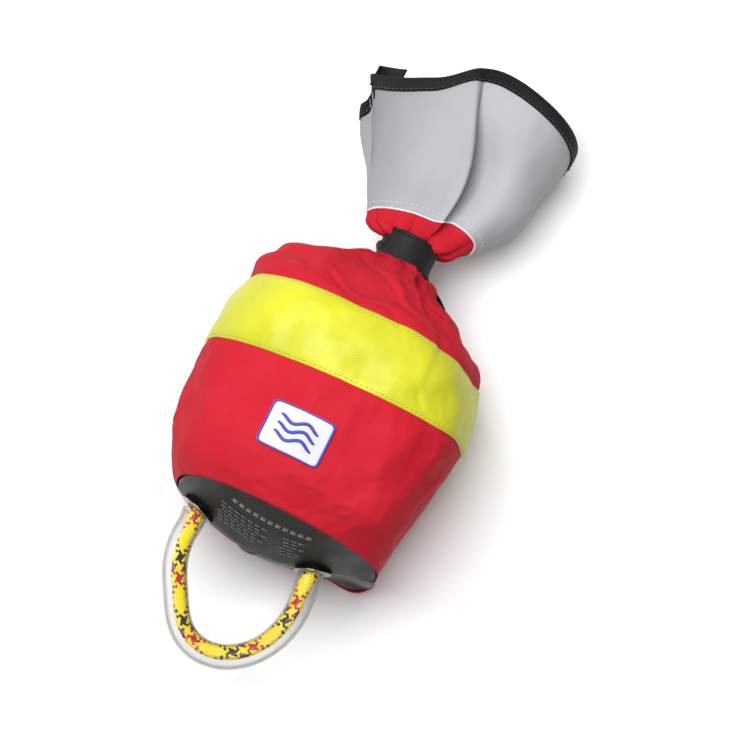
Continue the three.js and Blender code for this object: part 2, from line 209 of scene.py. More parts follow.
def cloth_piece(name, outer, thickness, material, closed=True, out=-1, cell=(1.0, 1.0)):
    """A grid of cloth as a closed solid, `thickness` deep behind its outer face.
    `out` is -1 where the grid's normals point inwards, as they do in rings that run up the bag.
    cell is a grid cell's size in millimetres."""
    rows, columns = outer.shape[:2]
    inner = outer - out * thickness * grid_normals(outer, closed)
    total = rows * columns
    points = np.concatenate([outer.reshape(-1, 3), inner.reshape(-1, 3)])
    faces, corners = quads(rows, columns, closed, flip=out < 0)
    back, back_corners = quads(rows, columns, closed, total, flip=out > 0)
    faces += back
    corners += back_corners
    edges = [(0, j, 0, j + 1) for j in range(columns - (not closed))]
    edges += [(rows - 1, j + 1, rows - 1, j) for j in range(columns - (not closed))]
    if not closed:
        edges += [(i + 1, 0, i, 0) for i in range(rows - 1)]
        edges += [(i, columns - 1, i + 1, columns - 1) for i in range(rows - 1)]
    for i, j, k, m in edges:
        a, b = i * columns + j % columns, k * columns + m % columns
        face = [b, a, a + total, b + total]
        corner = [(k, m), (i, j), (i, j), (k, m)]
        faces.append(face if out > 0 else face[::-1])
        corners.append(corner if out > 0 else corner[::-1])
    return piece(name, points, faces, material, cloth_uvs(corners, cell))


def ring_piece(name, rings, material, cell=(1.0, 1.0)):
    """A closed band whose cross-section is a closed line: rings[i] is the i-th line round it."""
    rings = np.asarray(rings)
    count, columns = rings.shape[:2]
    faces, corners = quads(count + 1, columns, True)
    faces = [[f % (count * columns) for f in face] for face in faces]
    return piece(name, rings.reshape(-1, 3), faces, material, cloth_uvs(corners, cell))


def frames_along(path, side):
    """Tangents and two square directions at each point, the first as close to `side` as it can be."""
    tangent = unit(np.gradient(path, axis=0))
    first = unit(side - (side * tangent).sum(1, keepdims=True) * tangent)
    return tangent, first, np.cross(tangent, first)


def distances(path):
    """How far along the path each of its points lies."""
    return np.concatenate([[0], np.cumsum(np.linalg.norm(np.diff(path, axis=0), axis=1))])


def read_at(at, places, values):
    """Each column of values, which are known at places, read at other places."""
    return np.stack([np.interp(at, places, column) for column in np.transpose(values)], axis=1)


def even(path, step):
    """The same line with points `step` apart."""
    lengths = distances(path)
    count = max(8, int(round(lengths[-1] / step)) + 1)
    return read_at(np.linspace(0, lengths[-1], count), lengths, path)


def resampled(values, count):
    """The same run of rows with `count` of them."""
    return read_at(np.linspace(0, 1, count), np.linspace(0, 1, len(values)), values)


def softened(path, rounds):
    path = np.array(path)
    for _ in range(rounds):
        path[1:-1] = (path[:-2] + 2 * path[1:-1] + path[2:]) / 4
    return path


def from_ends(count):
    """How many steps each of `count` points is from the nearer end."""
    return np.minimum(np.arange(count), np.arange(count)[::-1])


def length_of(path):
    return float(distances(path)[-1])


def tube(path, side, radius, sides, ends=True):
    """Points and faces of a tube; radius is a number or one for each point."""
    _, first, second = frames_along(path, side)
    turn = np.arange(sides) / sides * TURN
    reach = np.broadcast_to(np.asarray(radius, float), (len(path),))[:, None, None]
    points = (path[:, None] + reach * circle(turn, first[:, None], second[:, None])).reshape(-1, 3)
    faces, corners = quads(len(path), sides, True)
    if ends:
        points = np.concatenate([points, path[:1], path[-1:]])
        last = (len(path) - 1) * sides
        for j in range(sides):
            k = (j + 1) % sides
            faces += [[k, j, len(points) - 2], [last + j, last + k, len(points) - 1]]
            corners += [[(0, j + 1), (0, j), (0, j)], [(0, j), (0, j + 1), (0, j)]]
    return points, faces, corners


def closed_line(row):
    return np.concatenate([row, row[:1]])


def closed_tube(name, line, side, radius, sides, material):
    """A tube along a line whose last point is its first."""
    points, faces, _ = tube(line, side, radius, sides, ends=False)
    count = (len(line) - 1) * sides
    return piece(name, points[:count], [[f % count for f in face] for face in faces], material)


def settle(made, body, slot, *nodes):
    """Puts a piece on a body, or, when it is given a blend between two, only bakes its place into its points;
    then hides the CAD nodes that it stands for.
    """
    if isinstance(body, str):
        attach(made, body)
    else:
        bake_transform(made)
    if nodes:
        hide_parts(*nodes)


def surface_under(made):
    """Finds where straight lines in the bag frame meet a finished piece."""
    tree = BVHTree.FromObject(made, bpy.context.evaluated_depsgraph_get())

    def hit(start, direction):
        place, normal, _, _ = tree.ray_cast(Vector(row_frame(start)), Vector(direction))
        return np.array(place) / MM - [0, HEM_Y, 0], np.array(normal)

    return hit


def joined(name, parts, materials, face_materials=None):
    """One piece from many (points, faces) parts. face_materials has one index for each part."""
    points, faces, indices, count = [], [], [], 0
    for i, (some, shapes) in enumerate(parts):
        points.append(some)
        faces += [[f + count for f in face] for face in shapes]
        indices += [face_materials[i] if face_materials else 0] * len(shapes)
        count += len(some)
    return piece(name, np.concatenate(points), faces, materials, face_materials=indices)


# ---- materials ----
class Shader:
    """A material with one Principled shader, and short ways to add nodes to it."""

    def __init__(self, name, colour, roughness, **sockets):
        self.material = bpy.data.materials.new(name)
        self.material.use_nodes = True
        self.tree = self.material.node_tree
        self.main = self.tree.nodes["Principled BSDF"]
        self.main.inputs["Base Color"].default_value = (*colour, 1)
        self.main.inputs["Roughness"].default_value = roughness
        for socket, value in sockets.items():
            self.main.inputs[socket.replace("_", " ")].default_value = value
        self.colour = colour
        places = self.node("ShaderNodeTexCoord").outputs
        self.cloth = places["UV"]  # metres of cloth
        self.spots = places["Object"]  # metres in the scene

    def node(self, kind, **settings):
        made = self.tree.nodes.new(kind)
        for name, value in settings.items():
            if name in made.inputs:
                made.inputs[name].default_value = value
            else:
                setattr(made, name, value)
        return made

    def link(self, source, target):
        self.tree.links.new(source, target)

    def math(self, operation, a, b=None):
        made = self.node("ShaderNodeMath", operation=operation)
        for socket, value in zip(made.inputs, (a, b)):
            if isinstance(value, (int, float)):
                socket.default_value = value
            elif value is not None:
                self.link(value, socket)
        return made.outputs[0]

    def axes(self, coordinates):
        """The separate x, y and z of a place."""
        split = self.node("ShaderNodeSeparateXYZ")
        self.link(coordinates, split.inputs[0])
        return split.outputs

    def noise(self, scale, detail):
        made = self.node("ShaderNodeTexNoise", Scale=scale, Detail=detail)
        self.link(self.spots, made.inputs["Vector"])
        return made.outputs["Fac"]

    def blotches(self, scale, detail, low, high, most):
        """Soft patches from 0 to `most`, where the noise runs from low to high."""
        return self.spread(self.noise(scale, detail), low, high, 0, most)

    def roughen(self, scale, detail, low, high, least, most):
        rough = self.spread(self.noise(scale, detail), low, high, least, most)
        self.link(rough, self.main.inputs["Roughness"])

    def spread(self, value, low, high, to_low, to_high):
        made = self.node("ShaderNodeMapRange")
        self.link(value, made.inputs["Value"])
        for socket, number in zip(("From Min", "From Max", "To Min", "To Max"), (low, high, to_low, to_high)):
            made.inputs[socket].default_value = number
        return made.outputs[0]

    def ripple(self, axis_value, period):
        """A wave from 0 to 1 that repeats every `period` metres."""
        wave = self.math("SINE", self.math("MULTIPLY", axis_value, TURN / period))
        return self.math("MULTIPLY_ADD", wave, 0.5)

    def bump(self, heights, distance, strength=1.0, after=None):
        made = self.node("ShaderNodeBump", Strength=strength, Distance=distance)
        self.link(heights, made.inputs["Height"])
        if after is not None:
            self.link(after, made.inputs["Normal"])
        self.link(made.outputs[0], self.main.inputs["Normal"])
        return made.outputs[0]

    def tint(self, factor, other, source=None):
        """Mixes the base colour towards `other` by factor."""
        made = self.node("ShaderNodeMix", data_type="RGBA")
        self.link(factor, made.inputs[0])
        if source is None:
            made.inputs[6].default_value = (*self.colour, 1)
        else:
            self.link(source, made.inputs[6])
        made.inputs[7].default_value = (*other, 1)
        self.link(made.outputs[2], self.main.inputs["Base Color"])
        return made.outputs[2]


def woven(name, colour, roughness, thread, relief, worn, blotch=0.35, **sockets):
    """Plain-woven cloth: threads over and under, soft paler worn blotches, and painted shade in the hollows
    between the threads.
    """
    shader = Shader(name, colour, roughness, **sockets)
    u, v, _ = shader.axes(shader.cloth)
    along = shader.ripple(u, thread)
    across = shader.ripple(v, thread)
    over = shader.math("MULTIPLY", along, across)
    under = shader.math("MULTIPLY", shader.math("SUBTRACT", 1, along), shader.math("SUBTRACT", 1, across))
    weave = shader.math("ADD", over, under)
    toned = shader.tint(shader.blotches(28, 4, 0.35, 0.7, blotch), worn)
    # painted shade: the colour darkens where the weave lies low, in the hollows between the threads
    shader.tint(shader.spread(weave, 0, 1, 0.1, 0), darker(colour, 0.5), toned)
    shader.roughen(60, 3, 0.3, 0.7, roughness - 0.08, roughness + 0.08)
    rumple = shader.bump(shader.noise(120, 3), 0.0006, 0.25)
    shader.bump(weave, relief, 0.5, rumple)
    return shader.material


def webbing(name, colour, rib, relief, lengthwise=False):
    """Ribbed narrow webbing or binding tape."""
    shader = Shader(name, colour, 0.66, Specular_IOR_Level=0.2)
    u, v, _ = shader.axes(shader.cloth)
    if lengthwise:
        u, v = v, u
    threads = shader.ripple(v, rib * 0.6)
    weave = shader.math("ADD", shader.ripple(u, rib), shader.math("MULTIPLY", threads, 0.4))
    shader.tint(shader.blotches(90, 5, 0.5, 0.85, 0.3), tuple(c * 3 + 0.01 for c in colour))
    fuzz = shader.bump(shader.noise(260, 3), 0.0005, 0.3)
    shader.bump(weave, relief, 0.6, fuzz)
    return shader.material


def rope_fibre(name, colour):
    """Glossy floating fibre: fine filaments along each strand."""
    shader = Shader(name, colour, 0.45, Specular_IOR_Level=0.3)
    shader.tint(shader.blotches(160, 3, 0.4, 0.8, 0.3), darker(colour, 0.6))
    shader.bump(shader.noise(900, 2), 0.0002, 0.5)
    return shader.material


def tape_yellow():
    """Fluorescent retroreflective tape: a glossy film over a fine grid of cells."""
    film = {"Specular_IOR_Level": 0.25, "Coat_Weight": 0.12, "Coat_Roughness": 0.3}
    shader = Shader("tape_yellow", rgb(184, 185, 24), 0.5, **film)
    u, v, _ = shader.axes(shader.cloth)
    cell = 0.0022
    slants = [shader.ripple(shader.math(sign, u, v), cell) for sign in ("ADD", "SUBTRACT")]
    cells = shader.math("MULTIPLY", *slants)
    toned = shader.tint(shader.blotches(20, 5, 0.38, 0.68, 0.75), rgb(158, 158, 12))
    shader.tint(shader.spread(cells, 0, 1, 0, 0.08), rgb(255, 255, 150), toned)
    soft = shader.bump(shader.noise(70, 3), 0.0008, 0.3)
    shader.bump(cells, 0.00008, 0.4, soft)
    return shader.material


def tape_silver():
    """Silver retroreflective cloth: satin, slightly metallic, finely beaded, with painted shade that darkens
    it towards the left.
    """
    shader = Shader("tape_silver", rgb(155, 157, 161), 0.7, Metallic=0.12, Specular_IOR_Level=0.2)
    toned = shader.tint(shader.blotches(26, 5, 0.4, 0.8, 0.5), rgb(143, 144, 148))
    # painted shade: the tape's colour is darkened towards the left, where its lobe faces away from the key
    # light
    painted_shade_left = shader.spread(shader.axes(shader.spots)[0], -0.075, 0.01, 1.0, 0)
    shader.tint(painted_shade_left, rgb(124, 126, 131), toned)
    soft = shader.bump(shader.noise(90, 4), 0.0009, 0.35)
    shader.bump(shader.noise(2600, 1), 0.00005, 0.3, soft)
    return shader.material


def coated_black():
    """Heavy black cloth with a worn, semi-gloss coating."""
    worn = rgb(24, 25, 22)
    return woven("coated_black", rgb(10, 11, 9), 0.4, 0.0011, 0.00016, worn, 0.4, Specular_IOR_Level=0.22)


def clear_hose():
    """Clear soft plastic: seen through in the middle, grey and glossy where the wall is seen edge on."""
    shader = Shader("clear_hose", rgb(112, 114, 110), 0.12, Coat_Weight=1.0, Coat_Roughness=0.05)
    edge = shader.node("ShaderNodeLayerWeight", Blend=0.35)
    shader.link(shader.spread(edge.outputs["Facing"], 0.15, 0.85, 0.07, 0.8), shader.main.inputs["Alpha"])
    shader.roughen(45, 3, 0.4, 0.8, 0.08, 0.25)
    shader.bump(shader.noise(70, 2), 0.0005, 0.15)
    return shader.material


def nickel():
    shader = Shader("nickel", rgb(138, 138, 132), 0.25, Metallic=1.0)
    shader.roughen(350, 4, 0.3, 0.8, 0.2, 0.45)
    shader.bump(shader.noise(500, 3), 0.00008, 0.3)
    return shader.material


def closed_foam():
    shader = Shader("closed_foam", rgb(226, 226, 220), 0.8, Subsurface_Weight=0.1)
    cells = shader.node("ShaderNodeTexVoronoi", Scale=900.0)
    shader.link(shader.spots, cells.inputs["Vector"])
    shader.tint(shader.blotches(40, 4, 0.4, 0.8, 0.4), rgb(196, 196, 188))
    shader.bump(cells.outputs["Distance"], 0.0003, 0.5)
    return shader.material


def thread(name, colour):
    """Sewing thread, twisted."""
    shader = Shader(name, colour, 0.55, Sheen_Weight=0.3)
    shader.tint(shader.blotches(300, 3, 0.4, 0.8, 0.35), darker(colour, 0.65))
    shader.bump(shader.noise(1500, 2), 0.0001, 0.4)
    return shader.material


RED = woven("cloth_red", rgb(172, 24, 38), 0.7, 0.0008, 0.00012, rgb(178, 40, 54), Specular_IOR_Level=0.08)
TWILL_COLOUR, TWILL_WORN = rgb(192, 192, 202), rgb(202, 202, 210)
WHITE_TWILL = woven("twill_white", TWILL_COLOUR, 0.7, 0.0007, 0.0001, TWILL_WORN, Specular_IOR_Level=0.2)
YELLOW = tape_yellow()
SILVER = tape_silver()
BLACK_BASE = coated_black()
WEBBING = webbing("webbing_black", rgb(20, 21, 20), 0.0016, 0.00012, lengthwise=True)
GROSGRAIN = webbing("grosgrain_black", rgb(14, 15, 15), 0.0013, 0.00025)
ROPE_YELLOW = rope_fibre("rope_yellow", rgb(240, 214, 6))
ROPE_RED = rope_fibre("rope_red", rgb(176, 14, 22))
ROPE_BLACK = rope_fibre("rope_black", rgb(14, 14, 12))
CLEAR = clear_hose()
NICKEL = nickel()
FOAM = closed_foam()
THREAD_BLUE = thread("thread_blue", rgb(40, 48, 160))
THREAD_WHITE = thread("thread_white", rgb(196, 196, 192))
THREAD_YELLOW = thread("thread_yellow", rgb(166, 166, 30))
THREAD_BLACK = thread("thread_black", rgb(26, 26, 26))
PRINT_GREY = thread("print_grey", rgb(66, 66, 62))


# ---- camera ----
def make_camera():
    elevation = math.radians(79.3)
    roll = math.radians(26.5)
    distance = 5.0
    view_width = 0.497  # what the picture's width takes in at the bag's axis
    back = Vector((0, -math.cos(elevation), math.sin(elevation)))
    level = Vector((1, 0, 0))
    upward = Vector((0, math.sin(elevation), math.cos(elevation)))
    right = level * math.cos(roll) + upward * math.sin(roll)
    up = upward * math.cos(roll) - level * math.sin(roll)
    aim_right, aim_down = 0.0166, 0.0070  # the picture's middle, from the bag's middle
    target = Vector((0, 0, AXIS_Z * MM)) + right * aim_right - up * aim_down
    data = bpy.data.cameras.new("camera")
    data.sensor_width = 36
    data.lens = data.sensor_width * distance / view_width
    camera = placed("camera", data)
    turned = Matrix((right, up, back)).transposed()
    camera.matrix_world = Matrix.Translation(target + back * distance) @ turned.to_4x4()
    bpy.context.scene.camera = camera


make_camera()

# ---- the handle: a braided line in a clear hose ----
HOSE_OUTER = 8.6
HOSE_INNER = 7.7
# The loop: half its width, how far its shoulders and the rest reach, and the angles of its ends and droop.
HANDLE = {"half_width": 45.4, "shoulder": 18, "reach": 53, "flare": 0.31, "droop": 0.12}
PRESS, PRESS_AT, PRESS_SPREAD = 0.15, 0.6, 0.58  # its left side is pushed in by this share, round this angle
BASE_BULGE = 22.4
BASE_REACH = 78
CORNER_X, CORNER_DEPTH = 77, 5.0  # the panel's right-hand end stands out as a corner
INSIDE_HOSE = 2.8  # the line lies this far towards the loop's inner side


def base_depth(x):
    """How far the base panel's crease stands out past the hem, x millimetres from the bag's axis."""
    plain = BASE_BULGE * (1 - np.clip(np.abs(x) / BASE_REACH, 0, 1) ** 1.8)
    return plain + CORNER_DEPTH * hill(x, CORNER_X, 11)


def handle_route():
    """The loop's middle line, from inside one eyelet round to inside the other."""
    angle = np.linspace(-HANDLE["flare"], math.pi + HANDLE["flare"], 160)
    above = HANDLE["shoulder"] / math.sin(HANDLE["flare"])
    rise = np.where(np.sin(angle) < 0, above, HANDLE["reach"])
    size = 1 - PRESS * hill(angle, PRESS_AT, PRESS_SPREAD) * smooth(angle / HANDLE["flare"] + 1)
    x = -HANDLE["half_width"] * np.cos(angle) * size
    y = -HANDLE["shoulder"] - rise * np.sin(angle) * size
    droop = HANDLE["droop"]
    loop = np.stack([x + PIVOT.x, PIVOT.y + y * math.cos(droop), PIVOT.z + y * math.sin(droop)], axis=1)
    ends = []
    for start in (loop[0], loop[-1]):
        through_panel = np.linspace(4 - base_depth(start[0]), start[1] + 2, 9)
        ends.append(np.stack([np.full(9, start[0]), through_panel, np.full(9, start[2])], 1))
    return softened(even(np.concatenate([ends[0], loop, ends[1][::-1]]), 1.0), 20)


def inward_from(path):
    """The direction from each point of the loop to its inner side."""
    tangent = unit(np.gradient(path, axis=0))
    above_loop = [0.0, -math.sin(HANDLE["droop"]), 1.0]
    return unit(np.cross(np.tile(above_loop, (len(path), 1)), tangent))


def braid(name, path, side, diameter, pitch, tracers, materials):
    """A 24-strand braid, one over and one under. tracers maps a strand to its material; strands of
    both directions carry them, so that they cross on the outer side."""
    strands, thick, weave = 12, 0.7, 0.3
    step = pitch / 96
    line = even(path, step)
    side = resampled(side, len(line))
    _, first, second = frames_along(line, side)
    along = np.arange(len(line)) * step
    crossing = 2 * strands * along / pitch
    wide = math.pi * diameter * math.cos(math.atan(math.pi * diameter / pitch)) / strands / 2 * 0.98
    parts, owners = [], []
    section = np.arange(6) / 6 * TURN
    for way in (1, -1):
        over = way * np.cos(math.pi * crossing)
        reach = diameter / 2 - thick + weave * np.clip(1.6 * over, -1, 1)
        for i in range(strands):
            turn = way * TURN * along / pitch + TURN * i / strands
            out = circle(turn, first, second)
            centre = line + reach[:, None] * out
            beside = unit(np.cross(unit(np.gradient(centre, axis=0)), out))
            strand = circle(section, thick * out[:, None], wide * beside[:, None])
            points = (centre[:, None] + strand).reshape(-1, 3)
            faces, _ = quads(len(line), len(section), True)
            last = len(points) - len(section)
            faces += [list(range(len(section)))[::-1], list(range(last, len(points)))]
            parts.append((points, faces))
            owners.append(tracers.get(i if way == 1 else (strands // 2 - i) % strands, 0))
    parts.append(tube(line, side, diameter / 2 - 2 * thick, 10)[:2])
    owners.append(0)
    return joined(name, parts, materials, owners)


LOOP = handle_route()
INWARD = inward_from(LOOP)
LOOP_SHARE = smooth(from_ends(len(LOOP)) / 25)[:, None]
ROPE_LINE = softened(LOOP + INWARD * INSIDE_HOSE * LOOP_SHARE, 10)
HANDLE_BLEND = (
    "bag",
    "handle",
    row_frame([PIVOT.x, -BASE_BULGE - 0.5, AXIS_Z]),
    row_frame([PIVOT.x, PIVOT.y - 14, AXIS_Z]),
)


def handle_rope():
    red, black = 1, 2
    tracers = {0: red, 1: red, 4: black, 5: black}
    rope = braid("handle_line", ROPE_LINE, INWARD, ROPE_D, 42, tracers, [ROPE_YELLOW, ROPE_RED, ROPE_BLACK])
    settle(rope, HANDLE_BLEND, "line", "handle_rope", "rope_stub_left", "rope_stub_right")
    tuple(row_frame(ROPE_LINE[0]))
    length_of(ROPE_LINE) * MM
    [tuple(p) for p in row_frame(even(ROPE_LINE, 3))]


def handle_hose():
    """A thick-walled tube, open at both ends, its cut ends flared a little over the eyelets."""
    line = even(LOOP[5:-5], 1.5)
    side = inward_from(line)
    flare = 1.1 * fade(from_ends(len(line)), 2)
    sides = 40
    outer, outer_faces, _ = tube(line, side, HOSE_OUTER + flare, sides, ends=False)
    inner, inner_faces, _ = tube(line, side, HOSE_INNER + flare, sides, ends=False)
    total = len(outer)
    faces = outer_faces + [[f + total for f in face[::-1]] for face in inner_faces]
    last = total - sides
    for j in range(sides):
        k = (j + 1) % sides
        faces += [[k, j, j + total, k + total], [last + j, last + k, last + k + total, last + j + total]]
    hose = piece("handle_sleeve", np.concatenate([outer, inner]), faces, CLEAR)
    settle(hose, HANDLE_BLEND, "clear_hose", "handle_hose")


# ---- the stuffed line ----
# The stuffed bag's plain outline: the y of its widest place and of its shoulder, how much narrower it is
# at the base, the roundness of its dome and its height as a share of its width.
BODY = {"widest": 103, "taper": 9, "tuck": 14.5, "top": 198, "power": 2.2, "ratio": 0.86}


def body_half_width(y):
    share = np.clip((BODY["widest"] - y) / BODY["widest"], 0, None)
    lower = HALF_WIDTH - BODY["taper"] * share**2 - BODY["tuck"] * share**7.5
    rise = np.clip((y - BODY["widest"]) / (BODY["top"] - BODY["widest"]), 0, 1)
    upper = HALF_WIDTH * (1 - rise ** BODY["power"]) ** (1 / BODY["power"])
    return np.where(y < BODY["widest"], lower, upper)


def body_axis_z(y):
    return mix(AXIS_Z, NECK_Z, smooth((y - 122) / 68))


def squircle(value, power):
    return np.sign(value) * np.abs(value) ** (2 / power)


SMALLEST_BEND = 2.2 * ROPE_D
PACK_LOW, PACK_HIGH = bag_box("rope_pack")


def packed_route(last_y):
    """The stored line as a stuffed lie: layers of turns, each inside the one before, that end at last_y."""
    layers, points_a_turn = 5, 36
    rise_a_turn = ROPE_D + 0.1
    first_inset = 4.5 + ROPE_D / 2
    steps = np.arange(PACK_LOW[1] + 5.5, PACK_HIGH[1] - 5.5, rise_a_turn / points_a_turn)
    heights, insets = [], []
    for layer in range(layers):
        inset = first_inset + layer * (ROPE_D + 0.35)
        y = steps[packed_reach(steps, inset)[1] > SMALLEST_BEND]
        if layer == layers - 1:
            y = y[y < last_y]
        heights.append(y[::-1] if layer % 2 else y)
        insets.append(np.full(len(y), inset))
    y = evened(np.concatenate(heights), points_a_turn // 2)
    wide, deep = packed_reach(y, evened(np.concatenate(insets), points_a_turn // 2))
    angle = np.linspace(0, (round(len(y) / points_a_turn) + 0.5) * TURN, len(y))
    return np.stack([wide * np.cos(angle), y, body_axis_z(y) + deep * np.sin(angle)], axis=1)


def packed_reach(y, inset):
    """How far a turn of the stored line reaches sideways and upwards from the bag's axis."""
    deep = np.minimum(body_half_width(y) * BODY["ratio"] - inset, AXIS_Z - inset - 2.6)
    wide = np.minimum(body_half_width(y) - inset, deep**2 / SMALLEST_BEND)
    return wide, deep


def swept(start, start_ahead, end, end_ahead, reach):
    """A smooth curve from start to end that leaves and arrives in the given directions."""
    t = np.linspace(0, 1, 24)[:, None]
    near = start + unit(start_ahead) * reach
    far = end - unit(end_ahead) * reach
    return start * (1 - t) ** 3 + 3 * near * t * (1 - t) ** 2 + 3 * far * t**2 * (1 - t) + end * t**3


def evened(values, reach):
    """A running mean over `reach` values on each side."""
    window = np.ones(2 * reach + 1) / (2 * reach + 1)
    return np.convolve(np.pad(values, reach, mode="edge"), window, mode="valid")


def knot(name, node, lengthwise=True):
    """A tight overhand knot: one strand that passes through its own loop."""
    centre = bag_middle(node)
    t = np.linspace(0, TURN, 120, endpoint=False)
    x = np.sin(t) + 2 * np.sin(2 * t)
    y = np.cos(t) - 2 * np.cos(2 * t)
    z = -np.sin(3 * t)
    line = np.stack([x * 2.55, z * 3.6, y * 2.55], axis=1)
    if not lengthwise:
        line = line[:, [0, 2, 1]]
    line = closed_line(line)
    side = unit(line + [0.01, 0.02, 0.03])
    made = closed_tube(name, line + centre, side, ROPE_D / 2 * 0.88, 14, ROPE_YELLOW)
    settle(made, "bag", "line", node)
    return made


def stored_line():
    end_knot = knot("end_knot", "free_end_knot", lengthwise=False)
    knot("stopper", "stopper_knot")
    knot("lead_stopper", "lead_knot")
    lead_low, lead_high = bag_box("lead_line")
    start = np.array([lead_high[0] - 2, lead_low[1] + ROPE_D / 2, AXIS_Z])
    quarter = np.linspace(0, TURN / 4, 9)
    sideways, upwards = 1 - np.sin(quarter), 1 - np.cos(quarter)
    into_hole = np.stack([sideways, upwards, 0 * quarter], 1) * SMALLEST_BEND + [0, start[1], AXIS_Z]
    above_foam = np.array([0, lead_high[1] - 2, AXIS_Z])
    up_the_bag = np.array([0.0, 1.0, 0.0])
    tail = bag_middle("free_end_knot") - [0, 4, 0]
    run_to_knot = 40
    turns = packed_route(tail[1] - run_to_knot - SMALLEST_BEND)
    first = swept(above_foam, up_the_bag, turns[0], turns[1] - turns[0], 72)
    onward = unit(turns[-1] - turns[-2])
    turned_up = turns[-1] + (onward + up_the_bag) * SMALLEST_BEND
    corner = swept(turns[-1], onward, turned_up, up_the_bag, 0.55 * SMALLEST_BEND)
    last = swept(turned_up, up_the_bag, tail, up_the_bag, run_to_knot / 2)
    step = 6.0
    path = np.concatenate([start[None], into_hole, first, turns[1:-1], corner, last[1:]])
    path = softened(even(path, step), 2)
    side = np.tile([0.02, 1.0, 0.03], (len(path), 1))
    points, faces, corners = tube(path, side, ROPE_D / 2, 8)
    uvs = [(i * step * MM, j * ROPE_D * 0.39 * MM) for corner in corners for i, j in corner]
    line = piece("stored_line", points, faces, ROPE_YELLOW, uvs)
    settle(line, "bag", "line", "rope_pack", "lead_line")
    tuple(row_frame(path[0]))
    length_of(path) * MM
    [tuple(p) for p in row_frame(path)]


handle_rope()
handle_hose()
stored_line()

# ---- the body ----
AROUND = 288
ANGLE = np.arange(AROUND) / AROUND * TURN
NECK_RADIUS = 14.2
SHOULDER_LEAN = 8.0  # the stuffed shoulder sits this far to the left
# Where each side of the stuffed bag is fuller or flatter than its plain outline: (y, amount, spread).
LEFT_SIDE = [(12, -1.6, 16), (106, -2.0, 14), (156, 5.0, 10), (177, 4.4, 6), (191, -9, 6)]
RIGHT_SIDE = [(-2, 11.5, 6), (24, -3.6, 12), (50, -4.4, 22), (186, -13, 7)]


def body_profile(rows):
    """Evenly spaced along the body, from the hem to inside the neck strap: its half-width, its y
    and how far the cloth still runs to its top end."""
    y = np.linspace(0, BODY["widest"], 120)
    lower = np.stack([body_half_width(y), y], 1)
    turn = np.linspace(0, math.acos(0.36 ** (BODY["power"] / 2)), 160)[1:]
    span = BODY["top"] - BODY["widest"]
    dome_x = HALF_WIDTH * np.cos(turn) ** (2 / BODY["power"])
    dome_y = BODY["widest"] + span * np.sin(turn) ** (2 / BODY["power"])
    dome = np.stack([dome_x, dome_y], 1)
    t = np.linspace(0, 1, 30)[1:, None]
    corner = np.array([17.0, BODY["top"] - 1.0])
    neck = np.array([NECK_RADIUS, BODY["top"] + 5.0])
    curve = (1 - t) ** 2 * dome[-1] + 2 * t * (1 - t) * corner + t**2 * neck
    top = np.array([[NECK_RADIUS - 0.4, STRAP_TO - 3.0]])
    line = np.concatenate([lower, dome, curve, top])
    lengths = distances(line)
    at = np.linspace(0, lengths[-1], rows)
    return *read_at(at, lengths, line).T, lengths[-1] - at


def fullness(side, y):
    return sum(amount * hill(y, at, spread) for at, amount, spread in side)


def body_grid(rows=190):
    half, y, to_top = (values[:, None] for values in body_profile(rows))
    neckness = smooth((34 - half) / 18)
    below = np.sin(ANGLE)[None] < 0
    to_right = smooth(np.cos(ANGLE)[None] * 2 + 0.5)
    squareness = mix(2.8, 9.0, to_right)
    boxy = smooth(np.cos(ANGLE)[None] * 1.6) * smooth(y / 25) * (1 - smooth((y - 90) / 50))
    power = np.where(below, mix(squareness, 2.2, smooth(y / 75)), mix(2.2, 3.1, boxy))
    power = mix(power, 2.0, neckness)
    ratio = mix(BODY["ratio"], 1.0, neckness)
    x = half * squircle(np.cos(ANGLE)[None], power)
    z = body_axis_z(y) + half * ratio * squircle(np.sin(ANGLE)[None], power)
    fuller = np.where(x > 0, fullness(RIGHT_SIDE, y), fullness(LEFT_SIDE, y))
    x = x + np.sign(x) * fuller * np.abs(x / half) ** 1.5
    x = x - SHOULDER_LEAN * hill(y, 173, 15)
    sunk = 1.5 * hill(x, -32, 12)
    sunk = sunk * smooth((y - 176) / 12) * (1 - smooth((y - 198) / 3))
    pulled = 4.0 * hill(ANGLE[None], math.radians(300), 0.45)
    slant = (HEM_SLANT * np.sin(ANGLE)[None] - pulled) * (1 - smooth(y / 40))
    grid = np.stack([x, y + slant - sunk, z], axis=2)
    grid[..., 2] = floor_rest(grid[..., 2], 0.9)
    return grid, to_top, y


def floor_rest(z, lowest):
    """Cloth that would sink below `lowest` lies on the floor instead, with a rounded edge."""
    soft = 2.5
    above = (z - lowest) / soft
    return lowest + soft * (np.logaddexp(0, above) - 0.69 * fade(above, 1))


def pleats(angle, count, seed):
    """Gathers round a neck: rounded crowns and sharp valleys, unevenly spaced."""
    swing = 1.7 * np.sin(2 * angle + seed) + 0.9 * np.sin(5 * angle + 2 * seed)
    return 2 * np.abs(np.sin((count * angle + swing) / 2)) ** 0.8 - 1


def band_edges(angle):
    """The tape sits a little askew: both of its edges, as y."""
    return BAND_FROM + 3.6 * np.cos(angle), BAND_TO - 3.2 * np.cos(angle) ** 2


# The long folds that run down the shoulder: angle, half-width (both radians), depth and reach in millimetres.
LONG_FOLDS = [
    (0.62, 0.09, 3.0, 60),
    (0.28, 0.13, 3.0, 80),
    (1.42, 0.08, 1.8, 34),
    (1.95, 0.12, 3.4, 30),
    (2.50, 0.14, 2.6, 50),
    *((angle, 0.20, 2.4, 70) for angle in (3.30, 4.20, 5.10, 5.90)),
]
SEAM_HOLD = 3.0  # the cloth is held this close to each of the tape's seams
EXTRA_CLOTH = 0.011  # how much larger the cloth is cut than the bag it lies on
WRINKLE_CAP = 2.6  # millimetres
SETTLING_FRAMES = 20
